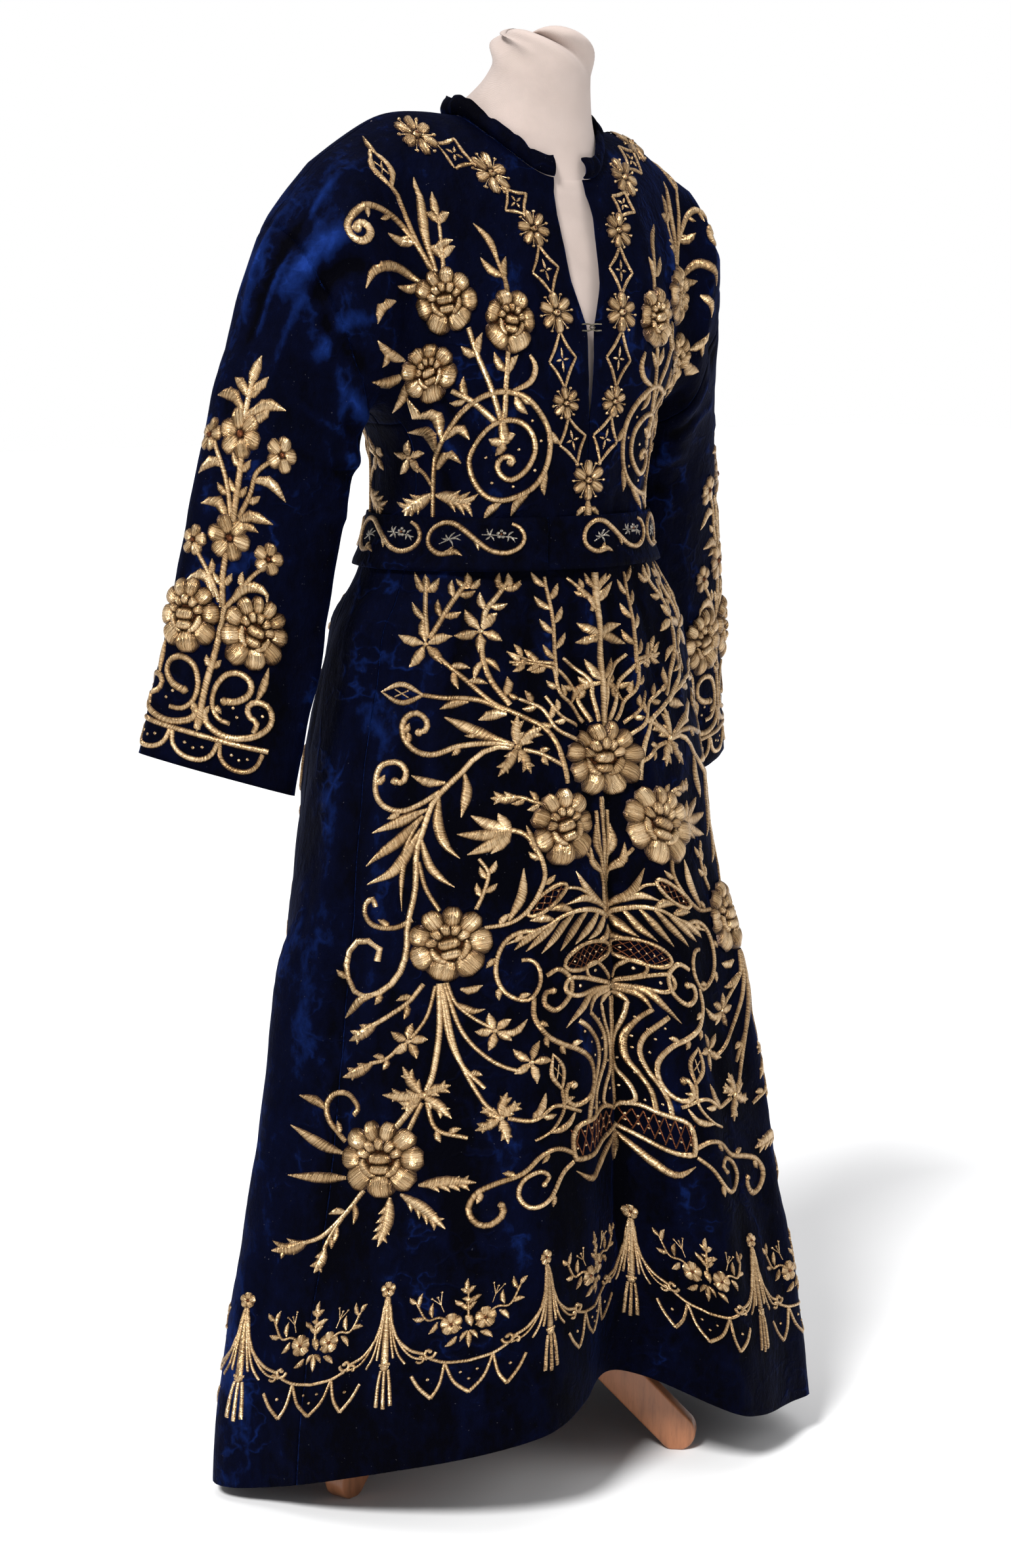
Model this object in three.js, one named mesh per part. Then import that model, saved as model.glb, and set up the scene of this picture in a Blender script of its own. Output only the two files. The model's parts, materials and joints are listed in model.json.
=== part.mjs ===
// Entari: a floor-length robe of velvet, cut straight with side gores and dropped sleeves, worn by a
// limbless dress form that stands on a wooden pole and tripod.
//
// Millimetres, +Z up. The robe's front faces -Y and the wearer's left hand is towards +X. The robe is one
// surface of faces laid out in rings; each sewn piece is a patch of it, thickened to a wall of cloth.
import * as THREE from "three";

// ---- driving dimensions ----------------------------------------------------------------------------

const CLOTH = 2.4; // velvet with its cotton lining
const SEAM = 0.34; // clear width between two sewn pieces
const UNITS = 12; // swags of the hem border: lengths round the robe are counted in them
const STEPS = 4; // columns of faces in one unit
const SIDE = UNITS / 4; // the side of the body, counted from the centre front

const WAIST_Z = 984; // where the skirt leaves the belt
const NECK_FRONT_Z = 1383;

const GORE_HALF = 0.5; // half the width of a side gore, in units
const ARMHOLE_HALF = 0.75; // half the width of an armhole, in units

const BELT = { bottom: 986, height: 54, wall: 3, flare: 5, start: -0.55, lap: 0.6, clear: 0.9 };
const BAND = { height: 21, wall: 3, lean: 3, rows: 2 };

const FORM_CLEAR = 6; // between the form and the robe where the cloth hangs free
const FORM_SEAT = 0.4; // and where the cloth rests on it
const FORM_BOTTOM_Z = 884;
const FORM_HIP_TUCK = 16; // how far the form draws in from the cloth between its waist and its bottom

const POLE = { x: -8, y: 45, radius: 15, sides: 20 };
const HUB = { radius: 27, bottom: 196, top: 268, sides: 12 };
const LEG = { reach: 226, depth: 42, thickness: 24, turn: [-45, 75, 195] };
const FIT = 0.3; // clearance where two hard pieces meet

// ---- sections of the robe --------------------------------------------------------------------------

// Rings of the skirt: half width, depth in front of and behind the axis, at a height above the hem.
const SKIRT_RINGS = [
  { z: 0, a: 326, front: 222, back: 250 },
  { z: 115, a: 317, front: 224, back: 243 },
  { z: 325, a: 287, front: 211, back: 220 },
  { z: 587, a: 256, front: 185, back: 190 },
  { z: 793, a: 230, front: 164, back: 165 },
  { z: 925, a: 203, front: 150, back: 143 },
  { z: WAIST_Z, a: 170, front: 139, back: 127 },
];

// Rings of the bodice. front, side and back give the height there; n is the squareness of the ring.
const BODICE_RINGS = [
  { front: 1036, side: 1036, back: 1036, a: 155, f: 138, b: 117, cy: 0, n: 2.1 },
  { front: 1092, side: 1092, back: 1092, a: 152, f: 139, b: 116, cy: 0, n: 2.15 },
  { front: 1142, side: 1142, back: 1142, a: 164, f: 141, b: 119, cy: 0, n: 2.2 },
  { front: 1188, side: 1188, back: 1188, a: 182, f: 143, b: 126, cy: 0, n: 2.3 },
  { front: 1234, side: 1238, back: 1238, a: 193, f: 142, b: 131, cy: 0, n: 2.3 },
  { front: 1278, side: 1290, back: 1290, a: 197, f: 134, b: 130, cy: 0, n: 2.3 },
  { front: 1318, side: 1342, back: 1340, a: 197, f: 124, b: 122, cy: 0, n: 2.2 },
  { front: 1345, side: 1386, back: 1382, a: 195, f: 116, b: 112, cy: 0, n: 2.1 },
  { front: 1360, side: 1418, back: 1412, a: 189, f: 111, b: 101, cy: 0, n: 2.0 },
  { front: 1368, side: 1432, back: 1425, a: 178, f: 108, b: 90, cy: 0, n: 1.9 },
  { front: 1375, side: 1441, back: 1434, a: 150, f: 99, b: 84, cy: -8, n: 1.9 },
  { front: 1380, side: 1443, back: 1440, a: 118, f: 88, b: 80, cy: -18, n: 2.0 },
  { front: NECK_FRONT_Z, side: 1441, back: 1444, a: 84, f: 76, b: 76, cy: -29, n: 2.0 },
];
const LEAN = { slope: 0.06, from: 1100, to: 1400 }; // the shoulders lean down towards the wearer's left
// Half the width of the front slit. It is hooked together at one height and gapes above it.
const SLIT_EDGE = [
  { z: 1134, half: 0.6 },
  { z: 1188, half: 4 },
  { z: 1234, half: 6 },
  { z: 1278, half: 18 },
  { z: 1318, half: 22 },
  { z: 1345, half: 23.5 },
  { z: 1360, half: 22 },
  { z: NECK_FRONT_Z, half: 19 },
];
const ARMHOLE_ROWS = { bottom: 2, top: 9 }; // rows of BODICE_RINGS between which the armhole is open
const SKIRT_ROWS = 9; // rows of faces between the hem and the waist

// Where the hem hangs at each unit round the robe: plan position and height above the floor.
const HEM_STATIONS = [
  { x: 32, y: -178, z: 120 },
  { x: 161, y: -224, z: 62 },
  { x: 321, y: -124, z: 42 },
  { x: 334, y: 60, z: 30 },
  { x: 250, y: 215, z: 32 },
  { x: 150, y: 178, z: 46 },
  { x: 42, y: 300, z: 56 },
  { x: -72, y: 176, z: 48 },
  { x: -208, y: 220, z: 26 },
  { x: -316, y: 58, z: 14 },
  { x: -263, y: -120, z: 62 },
  { x: -133, y: -228, z: 102 },
];
const FOLD_RISE = 1.7; // how soon the hem's folds die out towards the waist
const FRONT_FOLD = { at: 0.05, half: 0.42, depth: 34 }; // the deep fold of the centre front, at the hem

// Rings of a sleeve: its outer edge, its inner edge and half its depth from front to back. The cloth of the
// body reaches to the second ring, where the sleeve is sewn on.
const SLEEVES = {
  right: [
    { outer: [-236, 4, 1401], inner: [-188, -3, 1150], depth: 88 },
    { outer: [-295, 8, 1333], inner: [-201, -6, 1131], depth: 74 },
    { outer: [-331, 12, 1238], inner: [-207, -8, 1098], depth: 60 },
    { outer: [-366, 18, 1125], inner: [-221, -10, 1046], depth: 47 },
    { outer: [-402, 28, 960], inner: [-250, -12, 905], depth: 38 },
    { outer: [-440, 35, 811], inner: [-284, -13, 759], depth: 31 },
  ],
  left: [
    { outer: [218, 8, 1385], inner: [188, 0, 1146], depth: 84 },
    { outer: [265, 24, 1305], inner: [200, 6, 1124], depth: 68 },
    { outer: [299, 50, 1216], inner: [206, 22, 1088], depth: 56 },
    { outer: [342, 82, 1100], inner: [216, 44, 1034], depth: 46 },
    { outer: [394, 116, 895], inner: [236, 66, 855], depth: 38 },
    { outer: [414, 128, 738], inner: [252, 70, 708], depth: 31 },
  ],
};
const SLEEVE_SQUARENESS = 2.25; // 2 is an ellipse
const SEAM_RING = 1; // the ring where the sleeve is sewn to the body
const SLEEVE_ROWS = [0, 1, 2, 3, 3.5, 4, 4.5, 5]; // places along SLEEVES where the faces break

// Rings of the form's neck, up to the tuck of cloth that closes its top.
const NECK_RINGS = [
  { z: 1440, a: 72, b: 62, cy: -38, tilt: 0.34 },
  { z: 1456, a: 61, b: 56, cy: -46, tilt: 0.24 },
  { z: 1478, a: 53, b: 52, cy: -56, tilt: 0.1 },
  { z: 1502, a: 51, b: 51, cy: -61, tilt: 0 },
  { z: 1520, a: 49, b: 49, cy: -63, tilt: 0 },
  { z: 1531, a: 40, b: 40, cy: -63, tilt: 0 },
  { z: 1524, a: 20, b: 20, cy: -63, tilt: 0 },
];

// ---- colours and finishes --------------------------------------------------------------------------

const MATERIALS = {
  velvet: { color: 0x0b1244, roughness: 0.9, metalness: 0 },
  form_cloth: { color: 0xe6ddd2, roughness: 0.85, metalness: 0 },
  wood: { color: 0xa8643c, roughness: 0.5, metalness: 0 },
  metal: { color: 0xa89a7c, roughness: 0.35, metalness: 1 },
};

// ---- curves ----------------------------------------------------------------------------------------

const lerp = THREE.MathUtils.lerp;
const clamp = THREE.MathUtils.clamp;
const vector = (list) => new THREE.Vector3(...list);

// The cubic through p1 and p2 that heads along its neighbours, at t from 0 to 1.
function cubic(p0, p1, p2, p3, t) {
  const bend = 2 * p0 - 5 * p1 + 4 * p2 - p3 + (3 * (p1 - p2) + p3 - p0) * t;
  return p1 + 0.5 * t * (p2 - p0 + t * bend);
}

// A value of a table's column at a fractional row; the table closes on itself when round is true.
function along(rows, column, place, round = false) {
  const last = rows.length - 1;
  const row = round ? Math.floor(place) : clamp(Math.floor(place), 0, last - 1);
  const wrap = (i) => (round ? THREE.MathUtils.euclideanModulo(i, rows.length) : clamp(i, 0, last));
  const value = (i) => rows[wrap(i)][column];
  return cubic(value(row - 1), value(row), value(row + 1), value(row + 2), place - row);
}

// A quarter of a superellipse, read by the share of its length from the Y axis to the X axis.
const QUARTER_STEPS = 48;
function quarter(halfX, halfY, n) {
  const points = [];
  for (let i = 0; i <= QUARTER_STEPS; i += 1) {
    const angle = (Math.PI / 2) * (i / QUARTER_STEPS);
    const x = halfX * Math.sin(angle) ** (2 / n);
    const y = halfY * Math.cos(angle) ** (2 / n);
    const before = points[i - 1];
    const length = before ? before.length + Math.hypot(x - before.x, y - before.y) : 0;
    points.push({ x, y, length });
  }
  const whole = points[QUARTER_STEPS].length;
  return (share) => {
    const length = share * whole;
    const next = Math.max(1, points.findIndex((point) => point.length >= length - 1e-9));
    const [p, q] = [points[next - 1], points[next]];
    const t = (length - p.length) / (q.length - p.length);
    return { x: lerp(p.x, q.x, t), y: lerp(p.y, q.y, t) };
  };
}

// A point of a ring, by units from the centre front towards the wearer's left.
function ringPoint(ring, s) {
  const turn = THREE.MathUtils.euclideanModulo(s + UNITS / 2, UNITS) - UNITS / 2;
  const inFront = Math.abs(turn) <= SIDE;
  const share = inFront ? Math.abs(turn) / SIDE : (2 * SIDE - Math.abs(turn)) / SIDE;
  const { x, y } = quarter(ring.a, inFront ? ring.f : ring.b, ring.n)(share);
  const height = lerp(ring.side, inFront ? ring.front : ring.back, (y / (inFront ? ring.f : ring.b)) ** 1.5);
  return new THREE.Vector3(Math.sign(turn) * x, ring.cy + (inFront ? -y : y), height);
}

// ---- the robe's surface ----------------------------------------------------------------------------

function skirtRing(z) {
  const upper = SKIRT_RINGS.findIndex((ring) => ring.z >= z);
  const row = Math.max(1, upper);
  const place = row - 1 + (z - SKIRT_RINGS[row - 1].z) / (SKIRT_RINGS[row].z - SKIRT_RINGS[row - 1].z);
  const [a, f, b] = ["a", "front", "back"].map((column) => along(SKIRT_RINGS, column, place));
  return { a, f, b, cy: 0, n: 2, front: z, side: z, back: z };
}

// The folds of the hem, as a way off the plain ring there.
function hemFold(s) {
  const plain = ringPoint(skirtRing(0), s);
  const off = THREE.MathUtils.euclideanModulo(s - FRONT_FOLD.at + UNITS / 2, UNITS) - UNITS / 2;
  const tuck = FRONT_FOLD.depth * Math.exp(-((off / FRONT_FOLD.half) ** 2));
  const [x, y] = ["x", "y"].map((column) => along(HEM_STATIONS, column, s, true));
  return new THREE.Vector3(x - plain.x, y - plain.y + tuck, 0);
}

// A point of the skirt: z runs from 0 at the hem to WAIST_Z at the belt.
function skirtPoint(s, z) {
  const point = ringPoint(skirtRing(z), s);
  point.addScaledVector(hemFold(s), (1 - z / WAIST_Z) ** FOLD_RISE);
  const hem = along(HEM_STATIONS, "z", s, true);
  point.z = lerp(hem, WAIST_Z, z / WAIST_Z);
  return point;
}

// A point of the bodice or the form, let down or lifted with the lean of the shoulders.
function leant(point) {
  point.z -= LEAN.slope * point.x * clamp((point.z - LEAN.from) / (LEAN.to - LEAN.from), 0, 1);
  return point;
}

// How far each side of the front slit stands from the centre, for a point at height z.
function slitHalf(z) {
  const upper = SLIT_EDGE.findIndex((edge) => edge.z >= z);
  if (upper < 1) return SLIT_EDGE.at(upper).half;
  const [low, high] = [SLIT_EDGE[upper - 1], SLIT_EDGE[upper]];
  return lerp(low.half, high.half, (z - low.z) / (high.z - low.z));
}

// A point of the bodice. hand is -1 or +1 on the centre front, where the slit parts the cloth.
function bodicePoint(s, row, hand) {
  const point = ringPoint(BODICE_RINGS[row], s);
  const reach = Math.max(0, 1 - Math.abs(s) / (SIDE / 2));
  point.x += hand * slitHalf(point.z) * reach;
  return leant(point);
}

// ---- cloth solids ----------------------------------------------------------------------------------

// A surface of four-sided faces that share their corners, cut into named pieces.
class Cloth {
  constructor() {
    this.points = [];
    this.faces = [];
    this.places = new Map();
  }

  point(key, make) {
    if (!this.places.has(key)) {
      this.places.set(key, this.points.length);
      this.points.push(make());
    }
    return this.places.get(key);
  }

  face(piece, corners) {
    this.faces.push({ piece, corners });
  }

  normals() {
    const normals = this.points.map(() => new THREE.Vector3());
    for (const { corners } of this.faces) {
      const [a, b, c, d] = corners.map((i) => this.points[i]);
      const across = new THREE.Vector3().subVectors(c, a).cross(new THREE.Vector3().subVectors(d, b));
      corners.forEach((i) => normals[i].add(across));
    }
    return normals.map((normal) => normal.normalize());
  }

  // The corners of one piece, each edge of it drawn in by half a seam.
  drawnIn(faces, normals) {
    const ways = new Map();
    for (const [from, to] of looseEdges(faces)) {
      const edge = this.points[to].clone().sub(this.points[from]);
      for (const i of [from, to]) {
        ways.set(i, [...(ways.get(i) ?? []), normals[i].clone().cross(edge).normalize()]);
      }
    }
    return (i) => {
      const point = this.points[i].clone();
      if (!ways.has(i)) return point;
      const [first, second] = ways.get(i);
      const mitre = Math.max(0.5, 1 + first.dot(second));
      return point.addScaledVector(first.clone().add(second), SEAM / 2 / mitre);
    };
  }

  // One piece as a closed wall of cloth, its outer side on the surface. The walls of a seam are split along
  // the same diagonal on both sides of it.
  solid(piece, wall) {
    const faces = this.faces.filter((face) => face.piece === piece);
    const normals = this.normals();
    const place = this.drawnIn(faces, normals);
    const used = [...new Set(faces.flatMap((face) => face.corners))];
    const number = new Map(used.map((i, k) => [i, k]));
    const outer = used.map(place);
    const inner = used.map((i, k) => outer[k].clone().addScaledVector(normals[i], -wall));
    const count = used.length;
    const triangles = [];
    const quad = (a, b, c, d) => triangles.push(a, b, c, a, c, d);
    for (const { corners } of faces) {
      const [a, b, c, d] = corners.map((i) => number.get(i));
      quad(a, b, c, d);
      triangles.push(a + count, c + count, b + count, a + count, d + count, c + count);
    }
    for (const [i, j] of looseEdges(faces)) {
      const [a, b] = [number.get(i), number.get(j)];
      if (i < j) quad(b, a, a + count, b + count);
      else quad(b + count, b, a, a + count);
    }
    return closedGeometry([...outer, ...inner], triangles);
  }
}

// The edges that only one face of the list has, in that face's direction.
function looseEdges(faces) {
  const seen = new Map();
  for (const { corners } of faces) {
    corners.forEach((from, k) => {
      const to = corners[(k + 1) % corners.length];
      const key = from < to ? `${from} ${to}` : `${to} ${from}`;
      seen.set(key, seen.has(key) ? null : [from, to]);
    });
  }
  return [...seen.values()].filter(Boolean);
}

function closedGeometry(points, triangles) {
  const geometry = new THREE.BufferGeometry();
  geometry.setAttribute("position", new THREE.Float32BufferAttribute(points.flatMap((p) => p.toArray()), 3));
  geometry.setIndex(triangles);
  return geometry;
}

// A solid through a stack of closed rings of equal count, capped flat at both ends.
function lofted(rings) {
  const count = rings[0].length;
  const triangles = [];
  for (let row = 0; row + 1 < rings.length; row += 1) {
    for (let i = 0; i < count; i += 1) {
      const [a, b] = [row * count + i, row * count + ((i + 1) % count)];
      triangles.push(a, b, b + count, a, b + count, a + count);
    }
  }
  const points = rings.flat();
  for (const [ring, first, flip] of [[rings[0], 0, true], [rings.at(-1), points.length - count, false]]) {
    const middle = ring.reduce((sum, p) => sum.add(p), new THREE.Vector3()).divideScalar(count);
    const centre = points.push(middle) - 1;
    for (let i = 0; i < count; i += 1) {
      const [a, b] = [first + i, first + ((i + 1) % count)];
      triangles.push(...(flip ? [centre, b, a] : [centre, a, b]));
    }
  }
  return closedGeometry(points, triangles);
}

// ---- laying out the robe ---------------------------------------------------------------------------

const robe = new Cloth();
const COLUMNS = UNITS * STEPS;

// Rows of corners up the body: the skirt's, then the bodice's.
const bodyRows = [];
for (let i = 0; i <= SKIRT_ROWS; i += 1) {
  const z = (WAIST_Z * i) / SKIRT_ROWS;
  bodyRows.push((s) => skirtPoint(s, z));
}
const FIRST_BODICE_ROW = bodyRows.length;
BODICE_RINGS.forEach((_, row) => bodyRows.push((s, hand) => bodicePoint(s, row, hand)));

// The centre front has two columns above the slit's lower end, one for each hand.
function bodyCorner(column, row, hand) {
  const place = THREE.MathUtils.euclideanModulo(column + COLUMNS / 2, COLUMNS) - COLUMNS / 2;
  const parted = place === 0 && row >= slitRow;
  const side = place === 0 ? (parted ? hand : 0) : Math.sign(place);
  const key = `body ${place} ${row} ${parted ? hand : 0}`;
  return robe.point(key, () => bodyRows[row](place / STEPS, side));
}
const slitRow = FIRST_BODICE_ROW + 1;
const underarmRow = FIRST_BODICE_ROW + ARMHOLE_ROWS.bottom;
const shoulderRow = FIRST_BODICE_ROW + ARMHOLE_ROWS.top;

// The piece that a face of the body belongs to, or null inside an armhole.
function bodyPiece(s, row) {
  const fromSide = Math.abs(Math.abs(s) - SIDE);
  if (row >= underarmRow && row < shoulderRow && fromSide < ARMHOLE_HALF) return null;
  if (row < underarmRow && fromSide < GORE_HALF) return s < 0 ? "gore_right" : "gore_left";
  return Math.abs(s) < SIDE ? "robe_front" : "robe_back";
}

for (let row = 0; row + 1 < bodyRows.length; row += 1) {
  for (let column = -COLUMNS / 2; column < COLUMNS / 2; column += 1) {
    const piece = bodyPiece((column + 0.5) / STEPS, row);
    if (!piece) continue;
    const hand = column < 0 ? -1 : 1;
    const corner = (c, r) => bodyCorner(c, r, hand);
    robe.face(piece, [
      corner(column, row),
      corner(column + 1, row),
      corner(column + 1, row + 1),
      corner(column, row + 1),
    ]);
  }
}

// The corners round an armhole, from its lowest point up the front to the shoulder and down the back.
function armholeLoop(hand) {
  const half = ARMHOLE_HALF * STEPS;
  const side = SIDE * STEPS;
  const front = [];
  for (let i = 0; i < half; i += 1) front.push([side - i, underarmRow]);
  for (let row = underarmRow; row < shoulderRow; row += 1) front.push([side - half, row]);
  for (let i = half; i > 0; i -= 1) front.push([side - i, shoulderRow]);
  const top = [side, shoulderRow];
  const back = front.slice(1).reverse().map(([column, row]) => [2 * side - column, row]);
  return [...front, top, ...back].map(([column, row]) => bodyCorner(hand * column, row, hand));
}

// The share of the half round from inner to outer edge at which each corner of the armhole lies.
function armholeShares(loop) {
  const half = loop.length / 2;
  const lengths = [0];
  for (let i = 0; i < loop.length; i += 1) {
    const [p, q] = [robe.points[loop[i]], robe.points[loop[(i + 1) % loop.length]]];
    lengths.push(lengths[i] + p.distanceTo(q));
  }
  const [front, whole] = [lengths[half], lengths[loop.length]];
  return loop.map((_, i) => (i <= half ? lengths[i] / front : 1 + (lengths[i] - front) / (whole - front)));
}

// A point of a sleeve's ring: share 0 is its inner edge, 0.5 its front, 1 its outer edge, 1.5 its back.
function sleevePoint(rings, place, share) {
  const at = (column, axis) => along(rings.map((ring) => ring[column]), axis, place);
  const [inner, outer] = ["inner", "outer"].map((column) => vector([0, 1, 2].map((axis) => at(column, axis))));
  const centre = inner.clone().lerp(outer, 0.5);
  const half = outer.clone().sub(centre);
  const forward = new THREE.Vector3(half.y, -half.x, 0).multiplyScalar(Math.sign(half.x)).normalize();
  const angle = Math.PI * share;
  const squared = (value) => Math.sign(value) * Math.abs(value) ** (2 / SLEEVE_SQUARENESS);
  return centre
    .addScaledVector(half, -squared(Math.cos(angle)))
    .addScaledVector(forward, along(rings, "depth", place) * squared(Math.sin(angle)));
}

for (const [name, hand] of [["right", -1], ["left", 1]]) {
  const loop = armholeLoop(hand);
  const shares = armholeShares(loop);
  const rings = SLEEVES[name];
  const lines = [loop];
  for (const place of SLEEVE_ROWS) {
    lines.push(loop.map((_, i) => robe.point(`${name} ${place} ${i}`, () => sleevePoint(rings, place, shares[i]))));
  }
  const seamLine = 1 + SLEEVE_ROWS.indexOf(SEAM_RING);
  for (let line = 0; line + 1 < lines.length; line += 1) {
    for (let i = 0; i < loop.length; i += 1) {
      const next = (i + 1) % loop.length;
      const bodyPart = i < loop.length / 2 ? "robe_front" : "robe_back";
      const piece = line < seamLine ? bodyPart : `sleeve_${name}`;
      const corners = [lines[line][i], lines[line][next], lines[line + 1][next], lines[line + 1][i]];
      robe.face(piece, hand < 0 ? corners : corners.reverse());
    }
  }
}

// ---- belt and neck band ----------------------------------------------------------------------------

// The outer side of the robe at a height between the waist and the bodice's second ring.
function waistPoint(s, z) {
  const low = ringPoint(skirtRing(WAIST_Z), s);
  const high = ringPoint(BODICE_RINGS[0], s);
  const point = low.lerp(high, Math.min(1, (z - WAIST_Z) / (BODICE_RINGS[0].side - WAIST_Z)));
  return point.setZ(z);
}

// A strip that goes once round the waist, its far end lying over its near one.
function beltCloth() {
  const belt = new Cloth();
  const columns = COLUMNS + Math.round(BELT.lap * STEPS);
  const lapped = columns - COLUMNS + 1;
  const rows = 2;
  for (let column = 0; column <= columns; column += 1) {
    const s = BELT.start - BELT.lap + column / STEPS;
    const over = clamp((column - COLUMNS + lapped) / lapped, 0, 1);
    for (let row = 0; row <= rows; row += 1) {
      const z = BELT.bottom + (BELT.height * row) / rows;
      const flare = BELT.flare * (1 - row / rows) ** 2;
      const stand = (BELT.clear + BELT.wall) * (1 + over) + flare;
      belt.point(`${column} ${row}`, () => {
        const point = waistPoint(s, z);
        const out = new THREE.Vector3(point.x, point.y, 0).normalize();
        return point.addScaledVector(out, stand);
      });
    }
  }
  for (let column = 0; column < columns; column += 1) {
    for (let row = 0; row < rows; row += 1) {
      const corner = (c, r) => belt.places.get(`${c} ${r}`);
      belt.face("belt", [
        corner(column, row),
        corner(column + 1, row),
        corner(column + 1, row + 1),
        corner(column, row + 1),
      ]);
    }
  }
  return belt.solid("belt", BELT.wall);
}

// The standing band on the neck edge, open at the centre front.
function bandCloth() {
  const band = new Cloth();
  const neckRow = BODICE_RINGS.length - 1;
  for (let column = 0; column <= COLUMNS; column += 1) {
    const hand = column < COLUMNS / 2 ? 1 : -1;
    const s = (column < COLUMNS / 2 ? column : column - COLUMNS) / STEPS;
    const base = bodicePoint(s, neckRow, hand);
    const out = new THREE.Vector3(base.x, base.y - BODICE_RINGS[neckRow].cy, 0).normalize();
    for (let row = 0; row <= BAND.rows; row += 1) {
      const up = row / BAND.rows;
      band.point(`${column} ${row}`, () =>
        base
          .clone()
          .addScaledVector(out, BAND.wall / 2 - BAND.lean * up)
          .add(new THREE.Vector3(0, 0, 2 * FIT + BAND.height * up)),
      );
    }
  }
  for (let column = 0; column < COLUMNS; column += 1) {
    for (let row = 0; row < BAND.rows; row += 1) {
      const corner = (c, r) => band.places.get(`${c} ${r}`);
      band.face("band", [
        corner(column, row),
        corner(column + 1, row),
        corner(column + 1, row + 1),
        corner(column, row + 1),
      ]);
    }
  }
  return band.solid("band", BAND.wall);
}

// ---- hook and eye ----------------------------------------------------------------------------------

const HOOK = { z: 1232, row: 4, wire: 0.8, root: 7, half: 3.2, crossing: 2.5, waist: 0.7, clear: 0.45 };

// A wire laid along points, as a closed tube.
function wire(points) {
  const curve = new THREE.CatmullRomCurve3(points);
  const section = new THREE.Shape().absarc(0, 0, HOOK.wire, 0, 2 * Math.PI);
  return new THREE.ExtrudeGeometry(section, { steps: 16, curveSegments: 3, extrudePath: curve });
}

// A loop of wire on one edge of the slit, reaching past the centre; the hook, hand -1, crosses over the eye.
function fastener(hand) {
  const edge = slitHalf(HOOK.z);
  const cloth = -BODICE_RINGS[HOOK.row].f - HOOK.wire - HOOK.clear;
  const over = hand < 0 ? 2 * HOOK.wire + HOOK.clear : 0;
  const at = (x, z, out) => new THREE.Vector3(hand * x, cloth - out * over, HOOK.z + z);
  const [root, neck, tip] = [edge + HOOK.root, HOOK.waist * edge, -HOOK.crossing];
  return wire([
    at(root, HOOK.half, 0),
    at(neck, HOOK.half, HOOK.waist),
    at(tip, 0, 1),
    at(neck, -HOOK.half, HOOK.waist),
    at(root, -HOOK.half, 0),
  ]);
}

// ---- dress form ------------------------------------------------------------------------------------

// The form follows the bodice inside it: clear of the cloth at the waist and chest, under it at the shoulder.
function formGeometry() {
  const rings = [];
  const inset = (points, clear) => {
    rings.push(points.map(({ point, normal }) => point.clone().addScaledVector(normal, -CLOTH - clear)));
  };
  const columns = [...Array(COLUMNS).keys()].map((i) => i / STEPS);
  const surface = (at, s) => {
    const [ahead, behind] = [at(s + 0.05, 0), at(s - 0.05, 0)];
    const [above, below] = [at(s, 0.5), at(s, -0.5)];
    const normal = ahead.sub(behind).cross(above.sub(below)).normalize();
    return { point: at(s, 0), normal };
  };
  for (const z of [FORM_BOTTOM_Z, (FORM_BOTTOM_Z + WAIST_Z) / 2, WAIST_Z]) {
    const at = (s, up) => ringPoint(skirtRing(Math.min(z + up, WAIST_Z)), s);
    const hip = (WAIST_Z - z) / (WAIST_Z - FORM_BOTTOM_Z);
    inset(columns.map((s) => surface(at, s)), FORM_CLEAR + FORM_HIP_TUCK * hip);
    rings.at(-1).forEach((point) => point.setZ(z));
  }
  const last = BODICE_RINGS.length - 1;
  for (let row = 0; row <= last; row += 1) {
    const at = (s, up) => {
      const place = clamp(row + 0.2 * up, 0, last);
      const ring = {};
      for (const column of Object.keys(BODICE_RINGS[0])) ring[column] = along(BODICE_RINGS, column, place);
      return leant(ringPoint(ring, s));
    };
    const seated = clamp((row - ARMHOLE_ROWS.top + 2) / 2, 0, 1);
    inset(columns.map((s) => surface(at, s)), lerp(FORM_CLEAR, FORM_SEAT, seated));
  }
  for (const ring of NECK_RINGS) {
    const points = columns.map((s) => {
      const angle = (2 * Math.PI * s) / UNITS;
      const [x, y] = [ring.a * Math.sin(angle), -ring.b * Math.cos(angle)];
      return leant(new THREE.Vector3(x, ring.cy + y, ring.z + ring.tilt * y));
    });
    rings.push(points);
  }
  return lofted(rings);
}

// ---- stand -----------------------------------------------------------------------------------------

function upright(radius, bottom, top, sides) {
  const profile = [[0, bottom], [radius, bottom], [radius, top], [0, top]].map((p) => new THREE.Vector2(...p));
  const geometry = new THREE.LatheGeometry(profile, sides);
  geometry.rotateX(Math.PI / 2);
  return geometry;
}

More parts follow.
